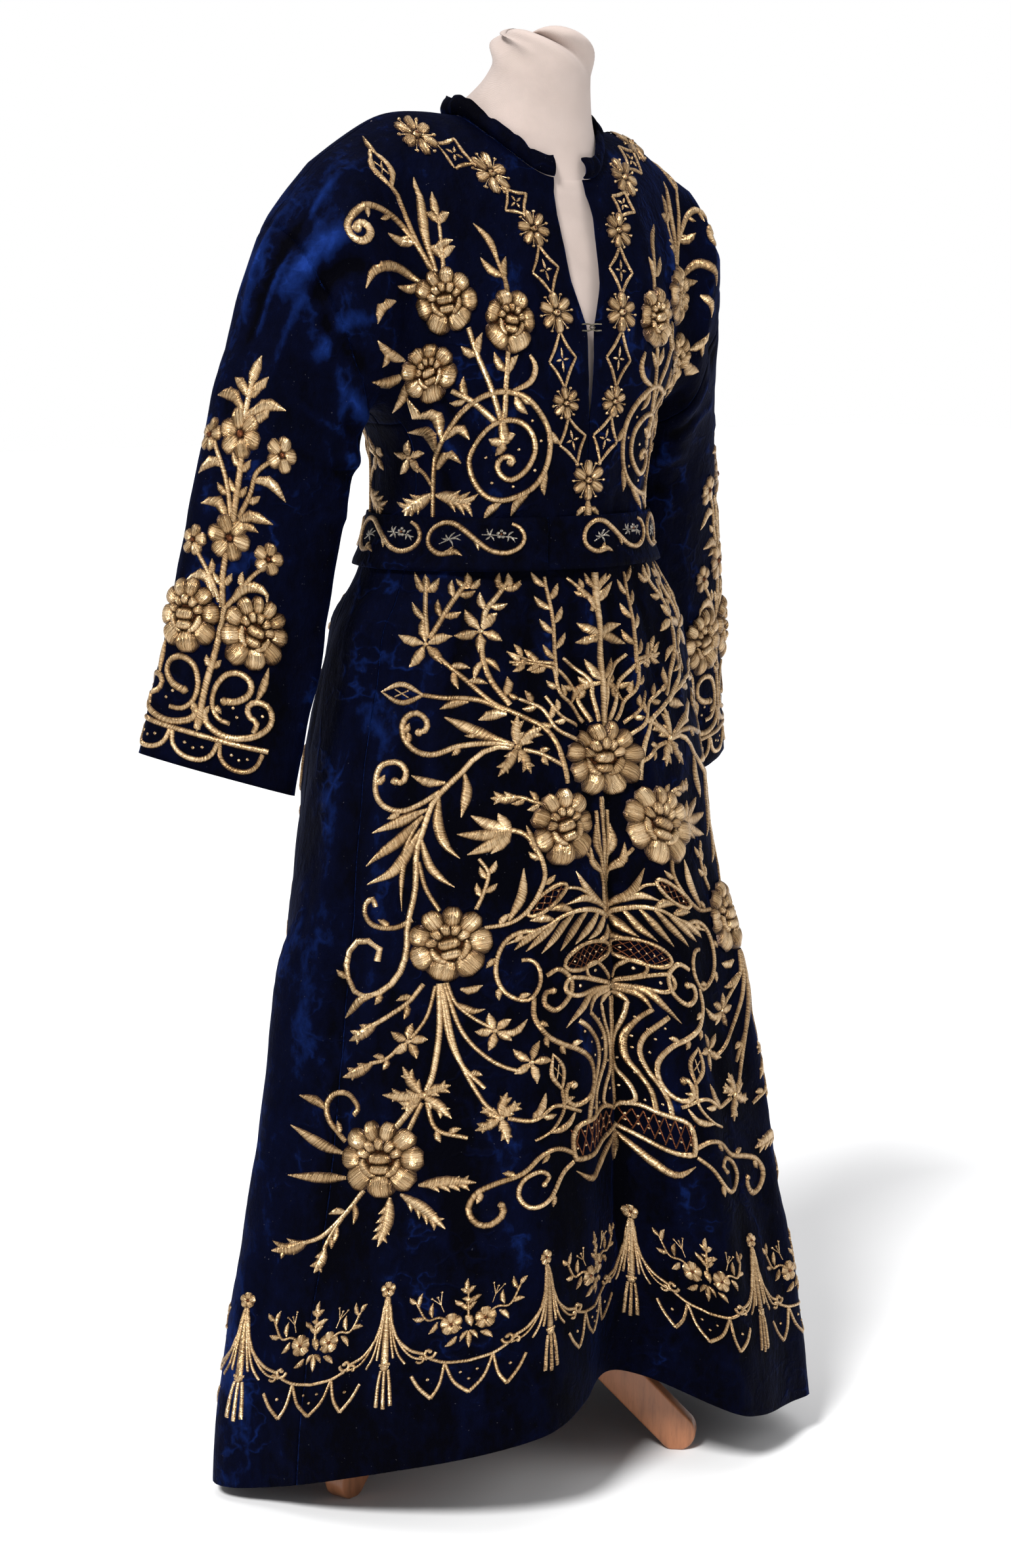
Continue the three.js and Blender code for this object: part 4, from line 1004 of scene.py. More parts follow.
    def lattice(self, at, rx, ry, turn, lines):
        """An oval or leaf outlined in thread with crossed wires and a sequin in each mesh."""
        axes = turned(at, turn)
        spot = lambda x, y: axes(x * rx, y * ry)
        edge = lambda q: math.sqrt(max(0.02, 1 - min(0.98, abs(q)) ** 2)) * 0.86
        ring = [spot(*towards(a)) for a in np.linspace(0, 2 * math.pi, 17)]
        self.strip(ring, [2.3, 2.9, 2.3, 2.9, 2.3, 2.9, 2.3, 2.9, 2.3], 1.9, cells=28, ends=1)
        for k in range(lines):
            t = -0.75 + 1.5 * (k + 0.5) / lines
            for lean in (-0.32, 0.32):
                self.wire(spot(t - lean, -edge(t - lean)), spot(t + lean, edge(t + lean)), w=0.6, tone=COPPER)
            self.sequin(spot(t, 0), 1.3)

    # -- setting the work on the cloth --

    def set_on(self, name, mapper, finish):
        """Sets the flat work on the cloth through mapper(x, y, height) and makes it a piece."""
        self.flush()
        self.small.free()
        mesh = to_mesh(self.done, name)
        x, y, height = mesh_points(mesh).T
        place_mesh(mesh, mapper(x, y, height + SEAT))
        return body_piece(name, mesh, "velvet", None, finish)


# ---- materials ----------------------------------------------------------------------------------------


class Nodes:
    """Short words for building a node tree."""

    def __init__(self, tree):
        self.tree = tree

    def put(self, value, socket):
        """Links a socket to an input, or sets the input's value."""
        if isinstance(value, bpy.types.NodeSocket):
            self.tree.links.new(value, socket)
        else:
            socket.default_value = (*value, 1) if socket.type == "RGBA" else value

    def add(self, kind, inputs=(), **settings):
        """A node with its settings, and with the values or sockets given for its inputs."""
        node = self.tree.nodes.new(kind)
        for name, value in settings.items():
            setattr(node, name, value)
        for key, value in dict(inputs).items():
            self.put(value, node.inputs[key])
        return node

    def maths(self, operation, *values, clamp=False):
        return self.add("ShaderNodeMath", enumerate(values), operation=operation, use_clamp=clamp).outputs[0]

    def plus(self, a, b, clamp=False):
        return self.maths("ADD", a, b, clamp=clamp)

    def times(self, a, b):
        return self.maths("MULTIPLY", a, b)

    def scaled(self, a, scale, start, clamp=False):
        """a x scale + start."""
        return self.maths("MULTIPLY_ADD", a, scale, start, clamp=clamp)

    def sine(self, turns):
        return self.maths("SINE", self.times(turns, 2 * math.pi))

    def ramp(self, factor, *stops):
        node = self.add("ShaderNodeValToRGB", {0: factor})
        elements = node.color_ramp.elements
        while len(elements) < len(stops):
            elements.new(0.5)
        for element, (at, colour) in zip(elements, stops):
            element.position = at
            element.color = (*colour, 1)
        return node.outputs[0]

    def mix(self, factor, a, b):
        return self.add("ShaderNodeMix", {0: factor, 6: a, 7: b}, data_type="RGBA").outputs[2]

    def noise(self, vector, scale, detail=3, rough=0.55, stretch=None):
        if stretch:
            vector = self.add("ShaderNodeMapping", {0: vector, "Scale": stretch}).outputs[0]
        return self.add("ShaderNodeTexNoise", {"Vector": vector, "Scale": scale, "Detail": detail,
                                               "Roughness": rough}).outputs["Fac"]

    def bump(self, height, strength, distance, **normal):
        return self.add("ShaderNodeBump", {"Strength": strength, "Distance": distance, "Height": height,
                                           **normal}).outputs[0]

    def attribute(self, name, output):
        return self.add("ShaderNodeAttribute", attribute_name=name).outputs[output]


def weave_group():
    """Crossing threads on a vector, as a height, with an uneven colour mask."""
    found = bpy.data.node_groups.get("weave")
    if found:
        return found
    tree = bpy.data.node_groups.new("weave", "ShaderNodeTree")
    for label, way, kind in (("Vector", "INPUT", "Vector"), ("Threads", "INPUT", "Float"),
                             ("Height", "OUTPUT", "Float"), ("Mask", "OUTPUT", "Float")):
        tree.interface.new_socket(label, in_out=way, socket_type="NodeSocket" + kind)
    n = Nodes(tree)
    given, out = n.add("NodeGroupInput").outputs, n.add("NodeGroupOutput").inputs
    axes = n.add("ShaderNodeSeparateXYZ", {0: given["Vector"]}).outputs
    level = n.times(n.noise(given["Vector"], 40, 2), 2.5)
    warp, weft = (n.sine(n.scaled(axes[k], given["Threads"], level)) for k in (0, 2))
    n.put(n.scaled(warp, weft, 0.5), out["Height"])
    n.put(n.noise(given["Vector"], 14, 5), out["Mask"])
    return tree


class Finish(Nodes):
    """A material's tree, with the place on the piece that its patterns read."""

    def __init__(self, name):
        self.made = bpy.data.materials.new(name)
        self.made.use_nodes = True
        super().__init__(self.made.node_tree)
        self.place = self.add("ShaderNodeTexCoord").outputs["Object"]

    def weave(self, threads):
        """The weave's height and mask for a number of threads to the metre."""
        node = self.add("ShaderNodeGroup", node_tree=weave_group())
        self.put(self.place, node.inputs["Vector"])
        self.put(threads, node.inputs["Threads"])
        return node.outputs["Height"], node.outputs["Mask"]

    def done(self, **inputs):
        """Gives the shader its inputs, a line in a name standing for a space, and returns the material."""
        shader = self.tree.nodes["Principled BSDF"]
        for name, value in inputs.items():
            self.put(value, shader.inputs[name.replace("_", " ")])
        return self.made


def velvet(deep, body, bright, sheen):
    n = Finish("velvet")
    brushed = n.noise(n.place, 9, 4, 0.6, (1.0, 1.0, 0.7))
    patch = n.noise(n.place, 34, 3, 0.6, (1.0, 1.0, 0.8))
    crushed = n.noise(n.place, 110, 4, 0.7, (1.0, 1.0, 0.6))
    pile = n.noise(n.place, 1500, 2, 0.6)
    level = n.scaled(patch, 0.22, n.scaled(brushed, 0.34, 0.22))
    level = n.plus(level, n.scaled(crushed, 0.26, -0.13))
    # thin wrinkle lines, raised by the bump and also painted lighter in the colour as a highlight
    veins = []
    for scale, stretch in ((10, (1.0, 1.0, 0.6)), (19, (0.8, 0.8, 1.1))):
        gap = n.maths("ABSOLUTE", n.plus(n.noise(n.place, scale, 3, 0.55, stretch), -0.5))
        veins.append(n.maths("SUBTRACT", 1.0, n.times(gap, 26), clamp=True))
    vein = n.times(n.maths("MAXIMUM", *veins), n.scaled(brushed, 5, -2.2, clamp=True))
    level = n.plus(level, n.times(vein, 0.15))
    # painted highlight on the crease ridges, upper arms, chest and skirt sides, and painted shade in the troughs,
    # from the cloth's attribute
    level = n.plus(level, n.times(n.attribute("painted_light", "Fac"), 0.25), clamp=True)
    # the ramp's top stop, more than twice the velvet light, is a painted glint
    base = n.ramp(level, (0.46, deep), (0.66, body), (0.88, bright), (1.0, [2.2 * c for c in bright]))
    lint = n.maths("GREATER_THAN", n.noise(n.place, 420, 1, 0.5), 0.79)
    soft = n.bump(n.scaled(vein, 0.6, crushed), 0.5, 0.005)
    return n.done(Base_Color=n.mix(n.times(lint, 0.12), base, (0.25, 0.25, 0.3)),
                  Roughness=n.scaled(pile, 0.2, 0.62), Specular_IOR_Level=0.02, Sheen_Weight=0.24,
                  Sheen_Roughness=0.2, Sheen_Tint=sheen, Normal=n.bump(pile, 0.35, 0.0006, Normal=soft))


def lining(colour):
    n = Finish("lining")
    height, mask = n.weave(1100)
    return n.done(Base_Color=n.ramp(mask, (0.3, [0.6 * c for c in colour]), (0.7, colour)),
                  Roughness=n.scaled(mask, 0.15, 0.7), Normal=n.bump(height, 0.3, 0.0003))


TURN, LONG_TURN = 1.15, 3.1  # spacing in millimetres of the thread's turns and of its slower swell


def metal_thread(light, mid, shade, couch):
    n = Finish("metal_thread")
    run, across, tone = n.add("ShaderNodeSeparateXYZ", {0: n.attribute("thread", "Vector")}).outputs
    uneven = n.noise(n.place, 160, 2)
    # the turns of the thread are painted lighter on their crowns and darker between them, as highlight and shade, on
    # top of random tone
    wave = n.sine(n.scaled(uneven, 3.0, n.times(run, 1 / TURN)))
    coarse = n.sine(n.scaled(uneven, 2.2, n.times(run, 1 / LONG_TURN)))
    cord = n.add("ShaderNodeTexWhiteNoise", {"W": n.maths("FLOOR", n.times(run, 1 / TURN))},
                 noise_dimensions="1D").outputs["Value"]
    level = n.scaled(cord, 0.18, n.scaled(n.maths("FRACT", tone), 0.25, 0.07))
    for part, strength in ((wave, 0.13), (coarse, 0.04), (n.noise(n.place, 28, 3), 0.32)):
        level = n.plus(level, n.times(part, strength))
    # painted shade towards a strip's sides and shaded ends, where the thread sinks into the pile; the same mask makes
    # them less metallic
    low = n.maths("POWER", n.maths("ABSOLUTE", across), 3.0)
    level = n.maths("SUBTRACT", level, n.times(low, 0.65), clamp=True)
    kind = n.maths("FLOOR", tone)
    gold = n.ramp(level, (0.0, shade), (0.30, mid), (0.66, light))
    copper = n.ramp(level, (0.1, [0.35 * c for c in couch]), (0.7, couch))
    silver = n.ramp(level, (0.1, (0.16, 0.14, 0.12)), (0.8, (0.62, 0.57, 0.48)))
    base = n.mix(n.maths("GREATER_THAN", kind, 0.5), gold, copper)
    height = n.scaled(cord, 0.4, n.scaled(coarse, 0.35, wave))
    return n.done(Base_Color=n.mix(n.maths("GREATER_THAN", kind, 1.5), base, silver),
                  Roughness=n.scaled(cord, 0.16, 0.22), Metallic=n.scaled(low, -0.5, 0.93),
                  Normal=n.bump(height, 0.55, 0.0005))


def form_cloth(colour):
    n = Finish("form_cloth")
    height, mask = n.weave(800)
    base = n.ramp(mask, (0.25, [0.82 * c for c in colour]), (0.55, colour))
    stain = [c * k for c, k in zip(colour, (0.93, 0.86, 0.78))]
    return n.done(Base_Color=n.mix(n.times(n.noise(n.place, 22, 4), 0.35), base, stain),
                  Roughness=n.scaled(mask, 0.12, 0.82), Sheen_Weight=0.2, Normal=n.bump(height, 0.35, 0.0004))


def wood(colour):
    n = Finish("wood")
    light, dark = [min(1, 1.35 * c) for c in colour], [0.45 * c for c in colour]
    wander = n.noise(n.place, 5, 3, 0.5, (1.0, 1.0, 0.5))
    grain = n.noise(n.place, 24, 6, 0.65, (5.0, 5.0, 0.7))
    pores = n.noise(n.place, 260, 3, 0.6, (3.0, 3.0, 0.25))
    base = n.ramp(n.scaled(wander, 0.4, n.times(grain, 0.6)), (0.3, dark), (0.5, colour), (0.72, light))
    return n.done(Base_Color=n.mix(n.times(n.maths("GREATER_THAN", pores, 0.66), 0.35), base, dark),
                  Roughness=n.scaled(grain, 0.22, 0.3), Coat_Weight=0.25, Coat_Roughness=0.25,
                  Normal=n.bump(n.scaled(pores, 0.5, grain), 0.2, 0.0008))


def drawn_wire():
    n = Finish("drawn_wire")
    wear_and_painted_sheen = n.noise(n.place, 300, 4)
    return n.done(Base_Color=n.ramp(wear_and_painted_sheen, (0.3, (0.06, 0.05, 0.035)), (0.7, (0.26, 0.23, 0.17))),
                  Roughness=n.scaled(wear_and_painted_sheen, 0.3, 0.25), Metallic=1.0, Normal=n.bump(wear_and_painted_sheen, 0.2, 0.0002))


def studio_floor():
    n = Finish("studio_floor")
    return n.done(Base_Color=n.ramp(n.noise(n.place, 3, 2), (0.2, [0.86] * 3), (0.8, [0.88] * 3)),
                  Roughness=0.85, Specular_IOR_Level=0.1)


# ---- setting flat work on the cloth -------------------------------------------------------------------


BACK_SQUEEZE = 0.82  # the back's work is this much narrower than the front's


def skirt_mapper(shell, behind=False):
    """x is the length along the cloth from the centre front, or back; y the height above the hem."""
    def place(x, y, height):
        row = index_at(SKIRT_HEIGHTS, y)
        out = np.zeros((len(x), 3))
        for hand, grid in zip((-1, 1), shell.grids):
            m = (x >= 0) == ((hand > 0) != behind)
            run = np.abs(x[m])
            if behind:
                run = value_at(grid.arc[:, -1], row[m]) - BACK_SQUEEZE * run
            out[m] = grid.sample(row[m], grid.column_at(row[m], run), height[m])
        return out
    return place


HEM_PITCH, HEM_REPEATS, HEM_START = 182, 11, 18.5


def hem_mapper(shell):
    """Closes the hem border round the skirt; x is drawn length from the centre front, y height above the hem."""
    right, left = shell.grids[:2]

    def place(x, y, height):
        row = index_at(SKIRT_HEIGHTS, y)
        ends = [value_at(grid.arc[:, -1], row) for grid in (right, left)]
        run = np.mod(x / (HEM_REPEATS * HEM_PITCH), 1) * (ends[0] + ends[1])
        on_left = run <= ends[1]
        out = np.zeros((len(x), 3))
        for grid, m, length in ((left, on_left, run), (right, ~on_left, ends[0] + ends[1] - run)):
            out[m] = grid.sample(row[m], grid.column_at(row[m], length[m]), height[m])
        return out
    return place


# heights, half widths and depths of the plain shape that the bodice's work is laid out on
PLAIN_WIDTH = ((984, 1036, 1100, 1150, 1200, 1250, 1340, 1400, 1440),
               (170, 155, 160, 240, 300, 325, 300, 250, 180))
PLAIN_FRONT = ((984, 1036, 1092, 1142, 1188, 1234, 1278, 1318, 1345, 1360, 1368, 1375, 1383, 1440),
               (139, 138, 139, 141, 143, 142, 134, 124, 116, 111, 108, 99, 95, 40))
PLAIN_BACK = ((984, 1036, 1142, 1234, 1290, 1340, 1382, 1412, 1425, 1440),
              (127, 117, 119, 131, 130, 122, 112, 101, 90, 50))
PLAIN_SQUARE = 2.3
PLAIN_STEP = 3  # the plain shape is worked out at heights this far apart
RIGHT_AIM = (0.61, 0.78, -0.14)  # the way in which work on the wearer's right is laid on
REACH = 75.0  # how far the cloth may stand from the plain shape
SLEEVE_FROM = 1152.0  # height above which work may run on from the body to the sleeve


def plain_shape(x, y, behind):
    """Places of the plain shape at lengths x round it and heights y, and the way out of it there."""
    angle = np.linspace(0, math.pi / 2, 61)
    depths = PLAIN_BACK if behind else PLAIN_FRONT
    spots, out = np.zeros((len(x), 3)), np.zeros((len(x), 3))
    levels = np.round(y / PLAIN_STEP).astype(int)
    for level in np.unique(levels):
        m = levels == level
        a, f = (np.interp(PLAIN_STEP * level, *table) for table in (PLAIN_WIDTH, depths))
        px, py = a * np.sin(angle) ** (2 / PLAIN_SQUARE), f * np.cos(angle) ** (2 / PLAIN_SQUARE)
        run = lengths_along(np.stack([px, py], 1))
        ax, ay = (np.interp(np.abs(x[m]), run, p) for p in (px, py))
        side, nx, ny = np.sign(x[m]), (ax / a) ** (PLAIN_SQUARE - 1) / a, (ay / f) ** (PLAIN_SQUARE - 1) / f
        spots[m] = np.stack([side * ax, -ay, y[m]], 1)
        out[m] = np.stack([side * nx, -ny, 0 * nx], 1) / np.hypot(nx, ny)[:, None]
    if behind:
        spots[:, :2] *= -1
        out[:, :2] *= -1
    return spots, out


def bodice_mapper(shell, behind=False):
    """x is the length round a plain shape like the bodice, y the height above the floor."""
    def place(x, y, height):
        spots, away = plain_shape(x, y, behind)
        rays = -away
        if not behind:
            t = np.clip((x + 40) / 160, 0, 1)[:, None]
            rays = (1 - t) * np.array(RIGHT_AIM) + t * rays
            rays /= np.linalg.norm(rays, axis=1, keepdims=True)
        out = np.zeros((len(x), 3))
        for i in range(len(x)):
            spot, ray = Vector(spots[i]), Vector(rays[i])
            tree, faces = shell.trees[int(y[i] > SLEEVE_FROM)]
            point, _, face, _ = tree.ray_cast(spot - REACH * ray, ray, 2 * REACH)
            if point is None:
                point, _, face, _ = tree.find_nearest(spot)
            corners, point = faces[face], np.array(point)
            gap = np.linalg.norm(shell.points[corners] - point, axis=1)
            weight = 1 / (gap * gap + 0.5)
            out[i] = point + unit((shell.smooth_normals[corners] * weight[:, None]).sum(0)) * height[i]
        return out
    return place


def sleeve_mapper(shell, hand):
    """x is the length round the sleeve from its front towards its outer edge, y the height up from the cuff."""
    grid = shell.grids[2 if hand < 0 else 3]
    front = float(index_at(grid.shares, 0.5))
    run = lengths_along(grid.base[:, int(round(front))])
    up = run[-1] - run
    start = np.array([value_at(arc, front) for arc in grid.arc])

    def place(x, y, height):
        row = np.interp(y, up[::-1], np.arange(len(up))[::-1])
        column = grid.column_at(row, np.mod(value_at(start, row) + x * hand, value_at(grid.arc[:, -1], row)))
        return grid.sample(row, column, height)
    return place


# ---- the patterns --------------------------------------------------------------------------------------


def both_sides(s, draw):
    """Draws a pattern on the wearer's right and its mirror image on the left."""
    for s.flip in (1, -1):
        draw(s)
    s.flip = 1


def hem_unit(s, x):
    """One repeat of the hem border: a tassel, and a swag with its flower basket to the right of it."""
    X = lambda *points: [(x + a, b) for a, b in points]
    # tassel: flower, cords, knot and fringe
    s.blossom((x, 207), 8.5, 5, high=1.6)
    s.stem(*X((0, 199), (0, 160), (0, 124)), w=3.2, w1=4.4)
    for hand in (-1, 1):
        s.stem(*X((hand * 2, 197), (hand * 6, 165), (hand * 13, 136), (hand * 22, 121)), w=1.5)
        s.stem(*X((hand * 1, 199), (hand * 5, 160), (hand * 9, 130)), w=1.6)
    s.dot((x, 121), 4.6, 2.4)
    s.stem(*X((-6, 124), (6, 124)), w=1.8)
    for k, dx in enumerate((-8, 0, 8)):
        s.stem(*X((dx * 0.5, 118), (dx * 0.8, 100), (dx, 77 - 3 * (k == 1))), w=1.8, w1=2.5, high=1.6)
    # swag between this tassel and the next
    c = x + 91
    C = lambda *points: [(c + a, b) for a, b in points]
    for hand in (-1, 1):
        s.stem(*C((hand * 88, 190), (hand * 82, 158), (hand * 66, 137), (hand * 47, 128)), w=1.9)
        s.stem(*C((hand * 87, 176), (hand * 76, 146), (hand * 62, 128), (hand * 45, 122)), w=1.4)
        s.curl((c + hand * 43, 129), 7.5, 2, 90 + hand * 90, hand * 0.9, w=2.0)
        s.curl((c + hand * 52, 124), 5.5, 2, 200, -hand * 0.7, w=1.7)
        s.stem(*C((hand * 42, 122), (hand * 25, 115), (0, 112)), w=1.9)
        s.stem(*C((hand * 62, 106), (hand * 53, 91), (hand * 40, 77)), w=2.0, w1=2.3)
        s.stem(*C((hand * 40, 77), (hand * 31, 92), (hand * 26, 115)), w=2.3, w1=1.8)
        s.stem(*C((hand * 26, 115), (hand * 16, 92), (0, 77)), w=1.8, w1=2.3)
        s.dot((c + hand * 44, 99), 1.9)
        s.dot((c + hand * 9, 101), 1.7)
    s.dot((c, 92), 1.7)
    # basket of flowers over the swag
    for hand in (-1, 1):
        s.blossom((c + hand * 19, 157), 12, 5, high=2.2)
        s.stem(*C((hand * 8, 150), (hand * 30, 166), (hand * 46, 166), (hand * 58, 186)), w=1.5)
        s.leaf((c + hand * 34, 162), (c + hand * 44, 150), 3.6)
        s.leaf((c + hand * 40, 168), (c + hand * 39, 184), 3.4)
        s.leaf((c + hand * 48, 168), (c + hand * 62, 170), 3.4)
        s.leaf((c + hand * 55, 182), (c + hand * 51, 197), 3.2)
        s.leaf((c + hand * 58, 186), (c + hand * 66, 194), 3.2)
        s.leaf((c + hand * 13, 142), (c + hand * 26, 133), 3.8)
        s.twig((c + hand * 27, 172), 90 - hand * 22, 26)
        s.pair((c + hand * 4, 176), 90, 13, 3.2, 58 * hand)
    s.spray((c, 147), -90, (14, 19, 14), 40, 4.2)
    s.sprig([(c, 160), (c, 176), (c, 190)], 13, 3.4, 1.8, 14)
    s.leaf((c - 3, 163), (c + 3, 150), 5)


def hem_border():
    s = Stitches(21, 1.12)
    for k in range(HEM_REPEATS):
        hem_unit(s, HEM_START + HEM_PITCH * k)
    return s


def flower_vase(s):
    """The vase on the centre front, its half on one side, with the scrolls beside it."""
    # swaying flutes of the vase's body, with beads between them
    s.runs(
        (2.9, 3.4, (), 15, -66, 461, -50, 446, -35, 429, -30, 410, -38, 390, -53, 372, -62, 356, -65, 342),
        (2.7, 3.4, (), 15, -47, 466, -30, 451, -18, 433, -15, 415, -18, 397, -31, 380, -42, 364, -47, 342),
        (2, 2.6, (), 15, -20, 470, -16, 449, -8, 426, -4, 407, -7, 387, -18, 369, -24, 351, -14, 342),
        (1.8, 2.2, (), 15, -3, 476, -2, 440, -1, 390, -2, 342),
        (3, 3.2, (0.14, -0.22, -0.32, 0.38), 15, -118, 502, -121, 480, -109, 456, -90, 440, -72, 429, -57, 415,
         -49, 398, -52, 379, -65, 366, -83, 364, -93, 375, -90, 389, -80, 390))
    s.dot((-81, 388), 4.6, 2.8)
    s.sequins(1.7, -26, 452, -40, 440, -22, 428, -22, 414, -30, 400, -24, 384, -42, 368, -54, 352, -34, 352, -60, 446,
              -48, 430, -41, 412, -10, 398, -10, 364, -10, 436)
    # bow, its loops and its drooping leaves
    s.runs(
        (2.9, 2.4, (), 15, -4, 488, -36, 489, -64, 490, -78, 500, -73, 512, -55, 509, -30, 500, -5, 492),
        (2.5, 2.2, (), 15, -3, 492, -20, 498, -40, 507, -42, 518, -25, 521, -11, 509, -3, 497))
    s.blades(
        (5.2, -5, 486, -38, 487, -62, 472, -83, 457), (4.6, -3, 484, -28, 482, -40, 474, -47, 462),
        (4.2, 0, 481, -12, 478, -22, 468))
    s.dot((0, 489), 5.0, 3.4)
    s.sequins(2.2, -58, 500, -27, 511)
    s.lattice((-39, 532), 37, 14, 5, 6)
    # the C scroll beside the bow
    s.runs(
        (2.8, 2.4, (0.12, -0.34, -0.5, 0.62), 15, -98, 574, -120, 579, -138, 573, -150, 557, -155, 535,
         -147, 513, -126, 501, -110, 513, -107, 532, -115, 545, -126, 547))
    s.run([(-100, 523), (-84, 527), (-70, 511), (-75, 491), (-93, 481), (-106, 492), (-103, 504), (-94, 504)],
          2.8, 3.2, bulb=4.0)
    s.bud((-97, 388), 100, 46, 9)
    s.runs((2.4, 1.6, (), 15, -97, 388, -99, 364, -118, 348, -142, 342))
    s.blades((4.2, -84, 356, -98, 344, -126, 346))
    # bowl, its lattice and its arcs
    bowl = [(2, 336), (-22, 345), (-50, 340), (-85, 337), (-92, 309), (-86, 300), (-59, 297), (-28, 305), (2, 318)]
    s.strip(bowl, [2.6, 3.0, 3.2, 3.4, 3.2, 3.0, 2.6], 2.2, step=4.5)
    for k in range(7):
        x = -8 - 12 * k
        low = 303 + max(0, 0.28 * (x + 56))
        s.wire((x, 338), (x - 12, low), w=0.9, tone=COPPER)
        s.wire((x - 12, 338), (x, low), w=0.9, tone=COPPER)
        s.sequin((x - 6, 330), 1.5)
        s.sequin((x - 6, 313 + max(0, 0.2 * (x + 56))), 1.5)
    s.blades((5.4, -4, 308, -22, 290, -44, 276, -68, 270, -92, 288), (3.8, -2, 312, -5, 290, -3, 272))
    # the foot's scrolls
    s.run([(-90, 308), (-113, 323), (-137, 323), (-160, 309), (-188, 304), (-210, 297), (-222, 281), (-217, 264),
           (-203, 259), (-188, 268), (-188, 279)], 2.6, 3.6, (0.2, -0.42, 0.6), bulb=3.8)
    s.run([(-94, 300), (-115, 291), (-137, 270), (-158, 268), (-169, 284), (-161, 301), (-143, 306), (-132, 297),
           (-140, 290)], 2.8, 2.6, (0.3,), bulb=3.4)


def centre_bouquet(s):
    """The acanthus, the roses' stems and the fountain of sprays between the vase and the waist, on one side."""
    # acanthus out of the vase
    s.runs((3.6, 1.4, (), 15, 2, 572, -30, 585, -64, 587, -102, 577, -140, 568))
    s.blades(
        (5, -18, 582, -36, 562, -58, 549), (5, -36, 586, -58, 566, -80, 547),
        (5, -54, 588, -80, 568, -103, 550), (5, -74, 586, -98, 571, -120, 556),
        (5, -94, 580, -114, 572, -132, 560), (5, -6, 576, -20, 558, -36, 550),
        (5, -84, 585, -98, 590, -112, 590), (5, -56, 588, -72, 597, -88, 597), (4.6, 0, 562, -8, 548, -24, 546),
        (5.2, 0, 580, -28, 602, -48, 634), (4.6, -2, 584, -36, 600, -66, 598))
    s.lattice((-88, 609), 28, 9, 26, 4)
    s.runs((2.2, 1.8, (), 15, -20, 594, -44, 612, -64, 618))
    for line in ([(2, 578), (-6, 620), (-17, 638), (-34, 656)], [(3, 578), (-3, 620), (-9, 655), (-9, 700)],
                 [(5, 578), (2, 640), (-2, 716)]):
        s.run(line, 2.9, 2.3)
    s.blades((4.4, -6, 640, -13, 660, -12, 684), (4.2, -8, 626, -22, 640, -24, 662))
    # sprays beside the top rose
    s.runs((2.4, 2, (0.4, -0.5, 0.75, -0.8), 18, -32, 786, -58, 803, -73, 829, -97, 842))
    s.leaves((3.6, -97, 842, -108, 850))
    s.runs((2.2, 1.8, (0.35, -0.6), 15, -30, 803, -52, 818, -68, 842))
    # fountain over the top rose
    s.runs(
        (2.6, 2.2, (-0.4, 0.6), 16, -12, 806, -23, 829, -29, 847, -50, 871),
        (2.6, 2, (0.5,), 16, -4, 806, -10, 836, -13, 857, -42, 884),
        (2.4, 2, (-0.5, 0.7), 17, -20, 806, -36, 829, -51, 845, -56, 873),
        (2.4, 1.6, (0.3, -0.45, 0.7, -0.8), 17, -50, 871, -76, 880, -104, 884))
    s.blades((4.6, 2, 852, -19, 847, -36, 828))
    # upright sprig beside the centre stem, running in under the belt
    s.runs(
        (2.6, 2, (0.2, -0.3, 0.45, -0.55, 0.68, -0.78, 0.9), 23, -53, 862, -52, 910, -54, 978),
        (2.6, 1.2, (0.3, -0.4, 0.6, -0.68), 18, -54, 878, -80, 884, -106, 896),
        (2.6, 1.8, (0.45, -0.6), 14, 4, 935, -9, 958, -28, 976))


